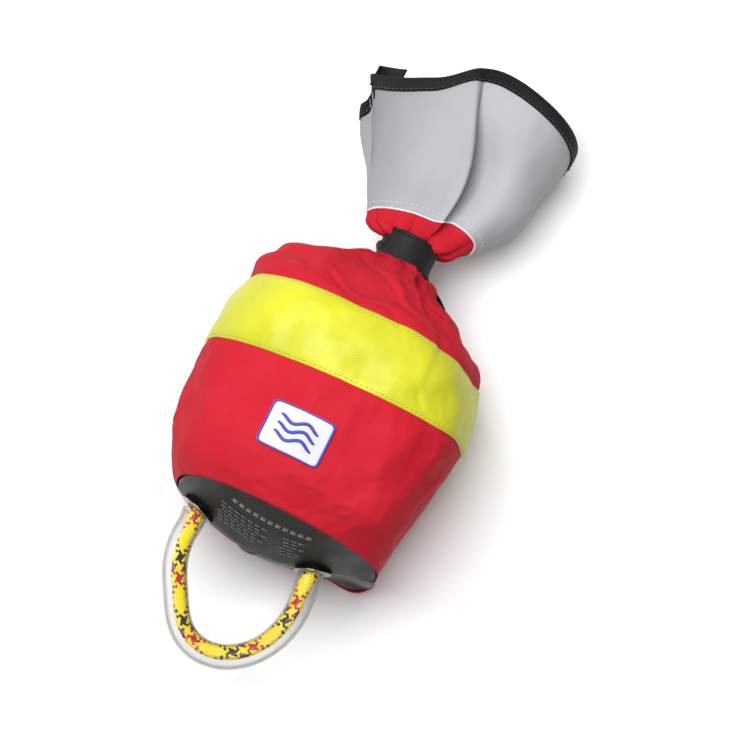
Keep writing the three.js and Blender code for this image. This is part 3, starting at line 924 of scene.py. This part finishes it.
# How much of the wrinkling shows on the lower red cloth, on the stiff two-layer tape and on the shoulder.
WRINKLE_SHARES = (0.6, 0.4, 1.0)
# The fold whose left side lies over its right side: angle, depth, width and reach.
LAP = (1.09, 6.5, 0.36, 78)


def lap_fold(down):
    at, deep, wide, reach = LAP
    past = at + 0.05 * np.sin(down / 17) - ANGLE[None]
    step = smooth(past / 0.07 + 0.5) * fade(past, wide)
    lip = 0.22 * hill(np.clip(-past, 0, None), 0, 0.12) * (past < 0.035)
    return -deep * (step - lip * (1 - step)) * smooth(down / 8) * hill(np.maximum(down, 0), 0, reach)


def body_relief(grid, to_top, y):
    """How far the cloth stands off its plain shape: gathers, long folds, and the lumps of the line inside."""
    neck = 18.0  # the strap hides this much of the cloth's top end
    down = to_top - neck
    gathers = 3.0 * pleats(ANGLE[None], 12, 0.7) * fade(down, 16) * smooth((to_top - 12) / 22)
    folds = lap_fold(down)
    for at, wide, deep, reach in LONG_FOLDS:
        away = (ANGLE[None] - at + math.pi) % TURN - math.pi
        spread = wide * (1 + down / 90)
        line = hill(away, 0, spread) - 0.45 * hill(np.abs(away), 2 * spread, spread)
        folds -= deep * line * smooth(down / 10) * hill(np.maximum(down, 0), 0, reach)
    lumps = 3.2 * bumps(grid, 44, 1) + 1.5 * bumps(grid, 21, 2)
    lumps *= smooth(down / 50) * smooth(y / 26)
    drag = bumps(grid * [1.0, 0.35, 1.0], 16, 3) * 0.55 * smooth(down / 30)
    lines = bumps(grid * [1.0, 0.7, 1.0] + [0, 1, 0] * grid[..., :1] * 0.5, 40, 21)
    strength = smooth(bumps(grid, 55, 22) * 2 + 0.4) * mix(0.25, 1.0, smooth((y - 90) / 45))
    creases = -1.9 * hill(lines, 0, 0.07) * strength * smooth(down / 26) * smooth(y / 30)
    low, high = band_edges(ANGLE[None])
    seam = -0.9 * (hill(y, low, 3.5) + hill(y, high, 3.5))
    return gathers + folds + lumps + drag + seam + creases


def averaged(field, rows, columns):
    """The field's running mean; it closes on itself along the second axis."""
    for axis, half in ((0, rows), (1, columns)):
        edges = [(half, half) if k == axis else (0, 0) for k in (0, 1)]
        padded = np.pad(field, edges, mode="wrap" if axis else "edge")
        total = np.cumsum(np.insert(padded, 0, 0, axis=axis), axis=axis)
        span = 2 * half + 1
        length = field.shape[axis]
        before, after = total.take(range(length), axis), total.take(range(span, span + length), axis)
        field = (after - before) / span
    return field


def finer(field, every, shape):
    """A field known at one row and column in `every`, read at all of them."""
    rows, columns = field.shape
    row, column = (np.arange(count) / every for count in shape[:2])
    first, beside = np.minimum(row.astype(int), rows - 2), column.astype(int)
    down, right = (row - first)[:, None], (column - beside)[None]
    after = (beside + 1) % columns
    upper = mix(field[first][:, beside], field[first][:, after], right)
    lower = mix(field[first + 1][:, beside], field[first + 1][:, after], right)
    return mix(upper, lower, down)


def pressed_wrinkles(grid, to_top):
    """How far the stuffed cloth wrinkles, in millimetres: a short cloth simulation of a bag cut a little
    large, held at the hem, at the tape's seams and at the neck. Only the wrinkles are kept."""
    every = 2
    coarse = grid[::every, ::every]
    rows, columns = coarse.shape[:2]
    form = piece("wrinkle_form", coarse.reshape(-1, 3), quads(rows, columns, True)[0], RED)
    low, high = band_edges(ANGLE[None, ::every])
    held = np.maximum(*(hill(coarse[..., 1], edge, SEAM_HOLD) for edge in (low, high)))
    held = np.maximum(held, smooth((30 - to_top[::every]) / 12))
    held[:2] = 1
    group = form.vertex_groups.new(name="held")
    for index in np.flatnonzero(held > 0.04):
        group.add([int(index)], float(held.flat[index]), "REPLACE")
    cloth = form.modifiers.new("cloth", "CLOTH").settings
    cloth.vertex_group_mass = "held"
    cloth.quality = 6
    cloth.use_pressure = True
    cloth.uniform_pressure_force = 4
    cloth.shrink_min = -EXTRA_CLOTH
    cloth.bending_stiffness = 0.2
    cloth.effector_weights.gravity = 0
    scene = bpy.context.scene
    for number in range(1, SETTLING_FRAMES + 1):
        scene.frame_set(number)
    settled = form.evaluated_get(bpy.context.evaluated_depsgraph_get())
    points = np.empty(coarse.size)
    settled.data.vertices.foreach_get("co", points)
    moved = points.reshape(coarse.shape) / MM - [0, HEM_Y, 0] - coarse
    bpy.data.objects.remove(form)
    scene.frame_set(1)
    out = -(moved * grid_normals(coarse, True)).sum(2)
    out = out - averaged(averaged(out, 6, 6), 6, 6)
    out = WRINKLE_CAP * np.tanh(out / WRINKLE_CAP)
    above_low, above_high = (smooth((coarse[..., 1] - edge) / 6 + 0.5) for edge in (low, high))
    out *= mix(mix(WRINKLE_SHARES[0], WRINKLE_SHARES[1], above_low), WRINKLE_SHARES[2], above_high)
    return finer(out, every, grid.shape)


def body_cloth():
    grid, to_top, y = body_grid()
    relief = body_relief(grid, to_top, y) + pressed_wrinkles(grid, to_top)
    contact = smooth((grid[..., 2] - 1) / 14)
    grid = grid - grid_normals(grid, True) * (relief * contact)[..., None]
    grid[..., 2] = np.maximum(grid[..., 2], 0.9)
    made = cloth_piece("body_cloth", grid, 0.8, RED, cell=(2.0, 1.4))
    settle(made, "bag", "red_cloth", "body_shell")
    return made, grid, y[:, 0]


BODY_CLOTH, BODY_GRID, BODY_ROW_Y = body_cloth()


def rows_at(wanted):
    """Points of the body cloth where each column has the wanted y: wanted is rows x columns."""
    at = np.interp(wanted, BODY_ROW_Y, np.arange(len(BODY_ROW_Y)))
    low = np.minimum(at.astype(int), len(BODY_ROW_Y) - 2)
    column = np.broadcast_to(np.arange(AROUND), at.shape)
    return mix(BODY_GRID[low, column], BODY_GRID[low + 1, column], (at - low)[..., None])


# One stitch, in millimetres: (share of its length, share of its radius, rise).
STITCH = [(0, 0.25, -0.1), (0.15, 0.9, 0.12), (0.5, 1.0, 0.22), (0.85, 0.9, 0.12), (1, 0.25, -0.1)]
STITCH_LENGTH, STITCH_GAP, STITCH_RADIUS = 2.6, 1.1, 0.28


def stitches(name, line, normals, material, body, slot):
    """A run of thread stitches along a closed or open line."""
    step = 0.5
    path = even(line, step)
    lift = resampled(normals, len(path))
    per = (STITCH_LENGTH + STITCH_GAP) / step
    parts = []
    sides = 6
    section = np.arange(sides) / sides * TURN
    for i in range(int(len(path) / per)):
        a, b = int(i * per), int(i * per + STITCH_LENGTH / step)
        if b >= len(path):
            break
        out = unit(lift[(a + b) // 2])
        ahead = path[b] - path[a]
        beside = unit(np.cross(ahead, out))
        around = STITCH_RADIUS * circle(section, out, beside)
        rings = [path[a] + ahead * share + out * rise + around * size for share, size, rise in STITCH]
        points = np.concatenate(rings)
        faces, _ = quads(len(STITCH), sides, True)
        faces += [list(range(sides))[::-1], list(range(len(points) - sides, len(points)))]
        parts.append((points, faces))
    settle(joined(name, parts, material), body, slot)


def band():
    low, high = band_edges(ANGLE[None])
    rows = rows_at(mix(low, high, np.linspace(0, 1, 44)[:, None]))
    normals = -grid_normals(rows, True)
    lift = np.full(len(rows), 1.0)
    lift[:2] = lift[-2:] = 0.75
    outer = rows + normals * lift[:, None, None]
    outer[..., 2] = np.maximum(outer[..., 2], 0.05)
    made = cloth_piece("band_tape", outer, 0.85, YELLOW, cell=(2.0, 1.2))
    settle(made, "bag", "yellow_tape", "reflective_band")
    for name, row in (("band_stitches_base", 2), ("band_stitches_neck", -3)):
        above = outer[row][:, 2] > 3  # the row lies on the floor below this
        line = outer[row][above]
        gap = int(np.argmax(np.diff(np.flatnonzero(above), prepend=-1) > 1))
        order = np.roll(np.arange(len(line)), -gap)
        stitches(name, line[order], normals[row][above][order], THREAD_YELLOW, "bag", "yellow_tape")


band()


# ---- the base panel ----
def base_grid(rings=46):
    """From the hem to the middle of the crease; the crease joins both hose ends."""
    hem = BODY_GRID[0].copy()
    centre = np.array([0.0, 0.0, AXIS_Z])
    share = np.linspace(1, 0.002, rings)[:, None, None]
    at_corner = smooth((np.cos(ANGLE) - 0.6) / 0.3) * smooth((0.1 - np.sin(ANGLE)) / 0.25)
    edge = 0.985 + 0.028 * at_corner[:, None]  # drawn in from the hem, but over it at the corner
    hem[:, 0::2] = [0, AXIS_Z] + (hem[:, 0::2] - [0, AXIS_Z]) * edge
    flat = centre + (hem - centre) * share
    x, z = flat[..., 0], flat[..., 2] - AXIS_Z
    half = AROUND // 2
    upper = np.interp(x, hem[:half + 1, 0][::-1], hem[:half + 1, 2][::-1]) - AXIS_Z
    lower = AXIS_Z - np.interp(x, hem[half:, 0], hem[half:, 2])
    rising = np.clip(z / np.maximum(upper, 1), 0, 1) ** 1.25
    falling = np.clip(-z / np.maximum(lower, 1), 0, 1) ** 2
    bulge = base_depth(x) * (1 - np.where(z > 0, rising, falling))
    flat[..., 1] = flat[..., 1] * share[..., 0] + 1.2 - bulge
    return flat


def base():
    grid = base_grid()
    grid[..., 1] += 0.5 * bumps(grid, 15, 5) * np.linspace(0, 1, len(grid))[:, None]
    made = cloth_piece("base_cover", grid, 1.2, BLACK_BASE, out=1, cell=(1.5, 1.5))
    settle(made, "bag", "black_base", "base_panel")
    return made


BASE_COVER = base()


# The eyelet's section: (radius, height over the panel).
EYELET = [(7.4, -3), (7.4, 0.5), (7.8, 1.1), (8.8, 1.4), (10.6, 1.2), (12.2, 0.8), (12.8, 0.3), (12.4, 0.1)]
EYELET += [(8.6, 0.1), (8.4, -3)]


def eyelet(side_name, sign):
    """A plated eyelet: a rolled flange outside and a short barrel."""
    x = PIVOT.x + sign * HANDLE["half_width"] * math.cos(HANDLE["flare"])
    outward = unit(np.array([base_depth(x - 0.5) - base_depth(x + 0.5), -1.0, 0.0]))
    seat = np.array([x, 0.7 - base_depth(x), AXIS_Z])
    upward = np.array([0.0, 0.0, 1.0])
    around = circle(np.arange(64) / 64 * TURN, upward, np.cross(outward, upward))
    rings = [seat + outward * height + radius * around for radius, height in EYELET]
    made = ring_piece("eyelet_ring_" + side_name, rings, NICKEL)
    settle(made, "bag", "nickel", "eyelet_" + side_name)


eyelet("left", -1)
eyelet("right", 1)


# ---- the label: a plain wave mark ----
LABEL = {"x": -11.1, "y": 49.4, "wide": 44.4, "tall": 31.5}
# Across the satin border: (share of the label's outline, height over the cloth).
SATIN_BORDER = [(1.0, 0.35), (1.0, 1.1), (0.982, 1.75), (0.95, 1.7), (0.93, 1.1)]


def rounded_rectangle(wide, tall, points=128):
    """Points round a rounded rectangle, by angle."""
    angle = np.arange(points) / points * TURN
    power = 14.0
    reach = (np.abs(np.cos(angle)) ** power + np.abs(np.sin(angle)) ** power) ** (-1 / power)
    return np.stack([reach * np.cos(angle) * wide / 2, reach * np.sin(angle) * tall / 2], 1)


def on_label(flat):
    """Label coordinates to points of the body's top, and which way is up from each."""
    hit = surface_under(BODY_CLOTH)
    found = [hit([LABEL["x"] + u, LABEL["y"] + v, 400], (0, 0, -1)) for u, v in flat]
    normals = np.array([normal for _, normal in found])
    return np.array([place for place, _ in found]), unit(normals + [0, 0, 1.0])


def label():
    outline = rounded_rectangle(LABEL["wide"], LABEL["tall"])
    shares = np.linspace(1, 0.03, 16)
    points, up = on_label(np.concatenate([outline * share for share in shares]))
    lift = np.full(len(shares), 1.15)
    lift[:2] = 0.7, 1.0
    face = (points + up * np.repeat(lift, len(outline))[:, None]).reshape(len(shares), -1, 3)
    flip = 1 if grid_normals(face, True)[5, 5][2] > 0 else -1
    made = cloth_piece("label_cloth", face, 0.8, WHITE_TWILL, out=flip, cell=(1.6, 1.6))
    settle(made, "bag", "white_patch", "label_patch")
    border = []
    for share, height in SATIN_BORDER:
        points, up = on_label(outline * share)
        border.append(points + up * height)
    settle(ring_piece("label_border", border, THREAD_BLUE), "bag", "white_patch")
    half, count = 14, 80
    u = np.linspace(-half, half, count)
    size = 1.15 * np.sqrt(np.clip(1 - (u / (half + 0.2)) ** 8, 0.02, 1))
    waves = []
    for v in (6, 0, -6):
        points, up = on_label(np.stack([u, v + 1.9 * np.sin(u / half * TURN * 0.75)], 1))
        waves.append(tube(softened(points + up * 1.3, 4), np.tile([0, 0, 1.0], (count, 1)), size, 10)[:2])
    settle(joined("label_waves", waves, THREAD_BLUE), "bag", "white_patch")


label()


def base_print():
    """A plain printed block of dashes on the upper half of the base panel."""
    hit = surface_under(BASE_COVER)
    parts = []
    box_faces = [[0, 1, 2, 3], [7, 6, 5, 4], [0, 4, 5, 1], [1, 5, 6, 2], [2, 6, 7, 3], [3, 7, 4, 0]]

    def dash(x, z, wide, tall):
        signs = [(-1, -1), (1, -1), (1, 1), (-1, 1)]
        corners = [hit([x + i * wide / 2, -200, z + k * tall / 2], (0, 1, 0))[0] for i, k in signs]
        front = np.array(corners) + [0, -0.35, 0.05]
        parts.append((np.concatenate([front, front + [0, 0.3, 0]]), box_faces))

    high = AXIS_Z + 42
    for i in range(11):
        dash(-27 + i * 5.4, high, 3.4, 3.4)
    for left, count in ((-33, 7), (14, 3)):
        for line in range(6):
            for i in range(count - (line % 2)):
                dash(left + i * 5.2 + (line % 3), high - 9 - line * 3.6, 3.9, 1.0)
    settle(joined("base_print", parts, PRINT_GREY), "bag", "black_base")


base_print()


# ---- foam float ----
def foam_float():
    low, high = bag_box("foam_float")
    y0, y1 = low[1] + 0.2, high[1] - 0.2
    wide = body_half_width(np.array((y0 + y1) / 2)) - 10.5
    turn = ANGLE[::3]

    def ring(share, y, inset=0.0):
        x = (wide - inset) * share * squircle(np.cos(turn), 2.2)
        z = AXIS_Z + (wide * BODY["ratio"] - inset) * share * squircle(np.sin(turn), 2.2)
        return np.stack([x, np.full_like(x, y), np.maximum(z, 6.5)], 1)

    def hole(y, radius):
        return np.stack([radius * np.cos(turn), np.full_like(turn, y), AXIS_Z + radius * np.sin(turn)], 1)

    hole_radius, hole_lip, rounding = 9.7, 1.1, 2.5
    inside = [hole(y0 + 1, hole_radius), hole(y1 - 1, hole_radius)]
    far_face = [hole(y1, hole_radius + hole_lip), ring(0.5, y1), ring(1, y1, rounding)]
    edge = [ring(1, y1 - rounding), ring(1, y0 + rounding)]
    near_face = [ring(1, y0, rounding), ring(0.5, y0), hole(y0, hole_radius + hole_lip)]
    made = ring_piece("foam_disc", inside + far_face + edge + near_face, FOAM)
    settle(made, "bag", "foam", "foam_float")


foam_float()


# ---- the neck strap ----
def sleeve_point(angle, y, radius):
    """Points round the neck."""
    x, z = radius * np.cos(angle), NECK_Z + radius * np.sin(angle)
    return np.stack(np.broadcast_arrays(x, y, z), -1)


def neck_webbing():
    """Two turns of webbing, the second over part of the first, crumpled where the cloth pushes out."""
    rows = 26
    y = np.linspace(STRAP_FROM - 1.5, STRAP_TO + 0.5, rows)[:, None]
    share = np.linspace(0, 1, rows)[:, None]
    wrap = 1.5 * smooth((share - 0.42 - 0.22 * np.sin(ANGLE + 0.6)[None]) / 0.06)
    plain = sleeve_point(ANGLE, y, 16.3)
    slanted = plain + np.array([0.0, 0.7, 0.0]) * plain[..., :1]
    edges = 0.3 + 0.7 * smooth(share / 0.2) * smooth((1 - share) / 0.2)
    crumple = 4.2 * bumps(slanted * [1, 1.9, 1], 10, 8) + 1.2 * bumps(slanted * [1, 1.6, 1], 4.5, 9)
    crumple = np.maximum(crumple * edges, -0.4)
    waist = 0.36 * np.cos((share - 0.5) * 5.5)
    grid = sleeve_point(ANGLE, y + 0.4 * bumps(plain, 14, 4), 17.4 + wrap + crumple - waist)
    made = cloth_piece("neck_webbing", grid, 1.6, WEBBING, cell=(0.4, 1.0))
    settle(made, "bag", "black_webbing", "neck_strap", "loop_tape")


def strap_strip(name, radius, thick, inset, material, node):
    """A curved strip of the strap's free end."""
    low, high = bag_box("strap_end_tab")
    angle = np.linspace(0.2 + inset, 2.3 - inset, 60)
    y = np.linspace(low[1] + 0.6, high[1] - 0.6, 16)[:, None]
    edge = 0.35 * smooth((np.linspace(0, 1, 60) - 0.9) / 0.1)
    grid = sleeve_point(angle, y, radius + edge + 0.35 * bumps(sleeve_point(angle, y, 19), 9, 6))
    made = cloth_piece(name, grid, thick, material, closed=False, cell=(0.7, 1.2))
    settle(made, "strap_tab", "black_webbing", node)


# Along the strap's sewn end, down the back of the shoulder: (radius, y).
STRAP_TAIL = [(17.6, 210), (17.8, 204), (19, 199.6), (23, 197.4), (29, 196.4), (36, 194.6), (42, 192.1)]
STRAP_TAIL += [(46, 189.8)]


def strap_anchor():
    turn_back = -0.72
    radius, y = np.transpose(STRAP_TAIL)
    line = softened(even(sleeve_point(turn_back, y, radius), 1.5), 6)
    across = np.array([math.sin(turn_back), 0.0, -math.cos(turn_back)])
    widths = np.linspace(-9, 9, 14)
    grid = line[:, None] + widths[None, :, None] * across
    normals = grid_normals(grid, False)
    flip = 1 if normals[10, 5][1] > 0 else -1
    grid = grid + flip * normals * (0.5 * bumps(grid, 11, 3) + 0.6)[..., None]
    made = cloth_piece("strap_tail", grid, 1.2, WEBBING, closed=False, out=flip, cell=(1.3, 1.5))
    settle(made, "bag", "black_webbing", "strap_anchor")


neck_webbing()
strap_strip("strap_end", 20.6, 1.1, 0, WEBBING, "strap_end_tab")
strap_strip("hook_patch", 19.3, 0.5, 0.12, GROSGRAIN, "hook_tape")
strap_anchor()

# ---- the collar ----
# Half-widths and half-depths where the collar springs from the strap and at its rim.
COLLAR = {"start_wide": 33, "left": 70.2, "right": 72.3, "start_deep": 15, "deep": 39, "mouth_z": 43.5}
COLLAR_START = 219.5
# The rim's y in millimetres at angles in degrees: 0 right, 90 on top, 180 left, 270 underneath.
RIM = [(0, 318), (6, 324), (27, 330), (46, 335), (60, 338.5), (73, 341.5), (85, 342.6), (94, 340.6)]
RIM += [(100, 337), (105, 331), (114, 321), (135, 312.5), (150, 310), (168, 310), (180, 309), (186, 297)]
RIM += [(194, 289), (230, 284), (270, 286), (310, 287), (340, 297), (352, 309)]
# Where the silver band's lower edge lies, in the same way.
SEAM = [(0, 228), (23, 233), (50, 237), (66, 238.8), (71, 237), (80, 233), (102, 231.5), (135, 227)]
SEAM += [(165, 223), (180, 222), (270, 226), (340, 226)]
COLLAR_BLEND = ("bag", "collar", tuple(row_frame([0, STRAP_TO, NECK_Z])), tuple(row_frame([0, 243, NECK_Z])))


def crowded(count, centres, spread, crowding):
    """Angles all the way round, closer together about each of the centres."""
    turn = np.linspace(0, TURN, 4001)
    density = 1 + sum(crowding * hill(turn, centre, spread) for centre in centres)
    total = np.concatenate([[0], np.cumsum((density[1:] + density[:-1]) / 2)])
    return np.interp(np.arange(count) / count * total[-1], total, turn)


# More of the collar's columns lie about its deep fold and its left-hand edge.
COLLAR_TURN = crowded(400, (1.45, 3.25), 0.28, 2.6)


def collar_start(angle):
    return COLLAR_START + 2.5 * np.cos(angle)


def crease_angle(v):
    """Where the deep fold between the two lobes lies: it leans to the right towards the neck."""
    return 1.235 + 0.47 * np.clip(v, 0, 1) ** 1.1


def collar_section(turn, v):
    """The collar's section at v, about its own middle: two lobes, the left one lapping over the right."""
    open_v = np.clip(v, 0, 1)
    left = mix(COLLAR["start_wide"], COLLAR["left"], open_v)
    spring = 1 - (1 - open_v) ** 2.4 - 0.13 * hill(open_v, 0.66, 0.2)
    right = mix(COLLAR["start_wide"], COLLAR["right"], spring)
    deep = mix(COLLAR["start_deep"], COLLAR["deep"], 1 - (1 - open_v) ** 1.7)
    past = crease_angle(v) - turn
    lower = smooth(past / 0.09 + 0.5)
    fold = 0.10 + 0.62 * hill(open_v, 0.38, 0.30) * smooth(open_v / 0.12)
    sink = fold * lower * np.exp(-((np.clip(past, 0, None) / 0.42) ** 1.5)) * (np.sin(turn) > 0)
    lap = 8.5 * hill(open_v, 0.42, 0.3) * smooth(open_v / 0.1)
    over = lap * ((1 - lower) * fade(-past, 0.16) - 0.55 * lower * fade(past, 0.10))
    behind = 5.5 * hill(open_v, 0.78, 0.27) * hill(turn, 3.46, 0.17)
    tucked = 3.6 * hill(turn, 3.27, 0.09) * smooth(open_v / 0.3)
    corner = 3.2 * hill(turn, 3.06, 0.15) * smooth((open_v - 0.88) / 0.12)
    under_right = 6.0 * hill(turn, 5.98, 0.2) * smooth((open_v - 0.4) / 0.4)
    across, upwards = np.cos(turn), np.sin(turn)
    width, flatness, edge = (np.where(across < 0, *pair) for pair in ((left, right), (2.3, 3.6), (0.8, 0.6)))
    x = width * across + over * (upwards > 0) - behind + tucked - corner - under_right
    rise = np.clip(1 - np.abs(across) ** flatness, 0, 1) ** edge
    z = deep * (1 - sink) * np.sign(upwards) * rise
    return np.stack([x, z], -1)


def collar_at(angle, v, out=0.0, beyond=0.0):
    """Points of the collar's outer cloth. v is 0 where it springs from the strap and 1 at the rim."""
    angle, v, out, beyond = np.broadcast_arrays(angle, v, out, beyond)
    step = 0.008
    here = collar_section(angle, v)
    edge = unit(collar_section(angle + step, v) - collar_section(angle - step, v))
    y = mix(collar_start(angle), keyed(RIM, angle), v) + beyond
    z = mix(NECK_Z, COLLAR["mouth_z"], np.clip(v, 0, 1) ** 0.6)
    points = np.stack([here[..., 0] + edge[..., 1] * out, y, z + here[..., 1] - edge[..., 0] * out], -1)
    points[..., 2] = np.maximum(points[..., 2], 1.2 + 0.3 * out)
    return points


def collar_relief(points, v):
    """Soft dents and drags in the collar's cloth."""
    soft = 1.6 * bumps(points * [1, 0.6, 1], 30, 11) + 0.5 * bumps(points * [1, 0.5, 1], 12, 12)
    return soft * smooth((1.02 - v) / 0.2)


def collar_rows(v, out):
    """Rows of the collar at v (rows x angles), `out` millimetres off the cloth's outer face."""
    plain = collar_at(COLLAR_TURN[None], v)
    return collar_at(COLLAR_TURN[None], v, out + collar_relief(plain, v))


def seam_share():
    start = collar_start(COLLAR_TURN)
    return (keyed(SEAM, COLLAR_TURN, 4) - start) / (keyed(RIM, COLLAR_TURN) - start)


def skirt_start(rows):
    """The gathered cloth between the strap and where the collar springs open."""
    q = np.linspace(0, 1, rows)[:, None]
    inside = np.linspace(-1, 0, 6, endpoint=False)[:, None]
    first = collar_rows(np.zeros((1, len(COLLAR_TURN))), 0.0)[0]
    top, radius = STRAP_TO - 1.0, NECK_RADIUS - 0.8
    neck = sleeve_point(COLLAR_TURN, top, radius)
    grown = smooth(q)[..., None] * 0.8 + q[..., None] * 0.2
    flare = neck[None] + (first - neck)[None] * grown
    flare[..., 1] = mix(top, first[None, :, 1], q**0.7) - 2.2 * np.sin(q * math.pi)
    return np.concatenate([sleeve_point(COLLAR_TURN, top + 9 * inside, radius), flare])


def collar_cloth():
    seam = seam_share()[None]
    lower = np.linspace(0, 1, 16)[1:, None] * seam
    upper = seam + (1 - seam) * np.linspace(0, 1, 40)[1:, None]
    v = np.concatenate([lower, upper * 0.998])
    tucked = smooth((v - seam) / 0.03) * -0.95
    upper_rows = collar_rows(v, tucked)
    edge = upper_rows[..., 0].min(1, keepdims=True) + 7.0 * smooth((v - seam) / 0.1) * smooth((1 - v) / 0.05)
    upper_rows[..., 0] = np.maximum(upper_rows[..., 0], edge)
    grid = np.concatenate([skirt_start(22), upper_rows])
    from_strap = np.arange(len(grid))[:, None] - 6
    gather = 3.3 * pleats(COLLAR_TURN[None], 12, 2.1) * smooth(from_strap / 8) * fade(from_strap - 14, 9)
    grid = grid - grid_normals(grid, True) * gather[..., None]
    made = cloth_piece("collar_skirt", grid, 0.6, RED, cell=(1.5, 1.6))
    settle(made, COLLAR_BLEND, "red_cloth", "collar_cloth")


def collar_band():
    seam = seam_share()[None]
    v = seam + (0.995 - seam) * np.linspace(0, 1, 64)[:, None]
    thick_edge = 0.35 * hill(np.arange(64)[:, None], 0, 1.4)
    grid = collar_rows(v, 0.75 + thick_edge)
    made = cloth_piece("collar_silver", grid, 0.6, SILVER, cell=(1.5, 1.7))
    settle(made, COLLAR_BLEND, "silver_tape", "collar_band")
    line = closed_line(collar_rows(v[:1], 0.75)[0])
    side = unit(np.gradient(line, axis=0)[:, [2, 0, 1]] + 0.01)
    settle(closed_tube("collar_fold", line, side, 0.75, 8, THREAD_WHITE), COLLAR_BLEND, "silver_tape")
    inner = collar_rows(v[3:4], 0.95)[0]
    normals = -grid_normals(grid, True)[3]
    line, lift = closed_line(inner), closed_line(normals)
    stitches("collar_stitches", line, lift, THREAD_WHITE, COLLAR_BLEND, "silver_tape")


# The folded tape's section: (how far back from the rim, height over the cloth), outside and then inside.
TAPE_WIDTH = 8.6
TAPE_OUTSIDE = [(8.6, 1.0), (8.6, 1.9), (5.676, 2.1), (2.838, 2.1), (0, 1.9), (-0.9, 1.3), (-1.3, 0.4)]
TAPE_INSIDE = [(-1.3, -0.8), (-0.9, -1.7), (0, -2.3), (4.3, -2.4), (8.6, -2.3), (8.6, -1.5), (4.3, -1.5)]
TAPE_INSIDE += [(0, -1.45), (0.4, 0), (0.4, 0.9), (4.3, 1.0)]


def mouth_binding():
    """Grosgrain tape folded over the rim, as wide outside as inside."""
    turn = COLLAR_TURN[None]
    length = keyed(RIM, turn) - COLLAR_START

    def ring(back, out):
        v = 1 - np.maximum(back, 0) / length
        relief = collar_relief(collar_at(turn, v), v)
        row = collar_at(turn, v, out + relief, max(-back, 0))[0]
        for _ in range(12):
            row = 0.25 * np.roll(row, 1, axis=0) + 0.5 * row + 0.25 * np.roll(row, -1, axis=0)
        return row

    rings = [ring(back, out) for back, out in TAPE_OUTSIDE + TAPE_INSIDE]
    made = ring_piece("mouth_tape", rings, GROSGRAIN, cell=(1.55, 1.5))
    settle(made, "collar", "black_webbing", "mouth_binding")
    top = ring(TAPE_WIDTH - 1.3, 2.15)
    away = unit(ring(TAPE_WIDTH - 1.3, 3.15) - top)
    stitches("mouth_stitches", closed_line(top), closed_line(away), THREAD_BLACK, "collar", "black_webbing")


def mouth_tab():
    """The tape's overlapping end, standing above the rim at its left-hand corner."""
    angle = np.linspace(2.50, 3.12, 40)[None]
    beyond = np.linspace(-6, 9.0, 12)[:, None]
    out = -2.9 + 0.5 * np.sin(np.linspace(0, 5, 40))[None] * smooth((beyond + 2) / 8)
    grid = collar_at(angle, 1.0, out, beyond)
    made = cloth_piece("mouth_pull", grid, 1.1, GROSGRAIN, closed=False, cell=(1.2, 1.1))
    settle(made, "collar", "black_webbing", "mouth_tab")


collar_cloth()
collar_band()
mouth_binding()
mouth_tab()


# ---- stage and light ----
def stage():
    mesh = bpy.data.meshes.new("floor")
    reach = 6
    corners = [(-reach, -reach, 0), (reach, -reach, 0), (reach, reach, 0), (-reach, reach, 0)]
    mesh.from_pydata(corners, [], [(0, 1, 2, 3)])
    mesh.materials.append(Shader("floor", (0.86, 0.86, 0.86), 0.9).material)
    floor = placed("floor", mesh)
    floor.location.z = -0.0005
    world = bpy.data.worlds.new("studio")
    bpy.context.scene.world = world
    world.use_nodes = True
    background = world.node_tree.nodes["Background"].inputs
    background["Color"].default_value = (1, 1, 1, 1)
    background["Strength"].default_value = 0.33


def area_light(name, place, size, power):
    data = bpy.data.lights.new(name, "AREA")
    data.size = size
    data.energy = power
    light = placed(name, data)
    light.location = place
    aim = Vector((0, 0, AXIS_Z * MM)) - Vector(place)
    light.rotation_mode = "QUATERNION"
    light.rotation_quaternion = aim.to_track_quat("-Z", "Y")


stage()
area_light("key", (-0.55, 0.1, 1.8), 1.5, 62)
bpy.context.scene.view_settings.view_transform = "Standard"
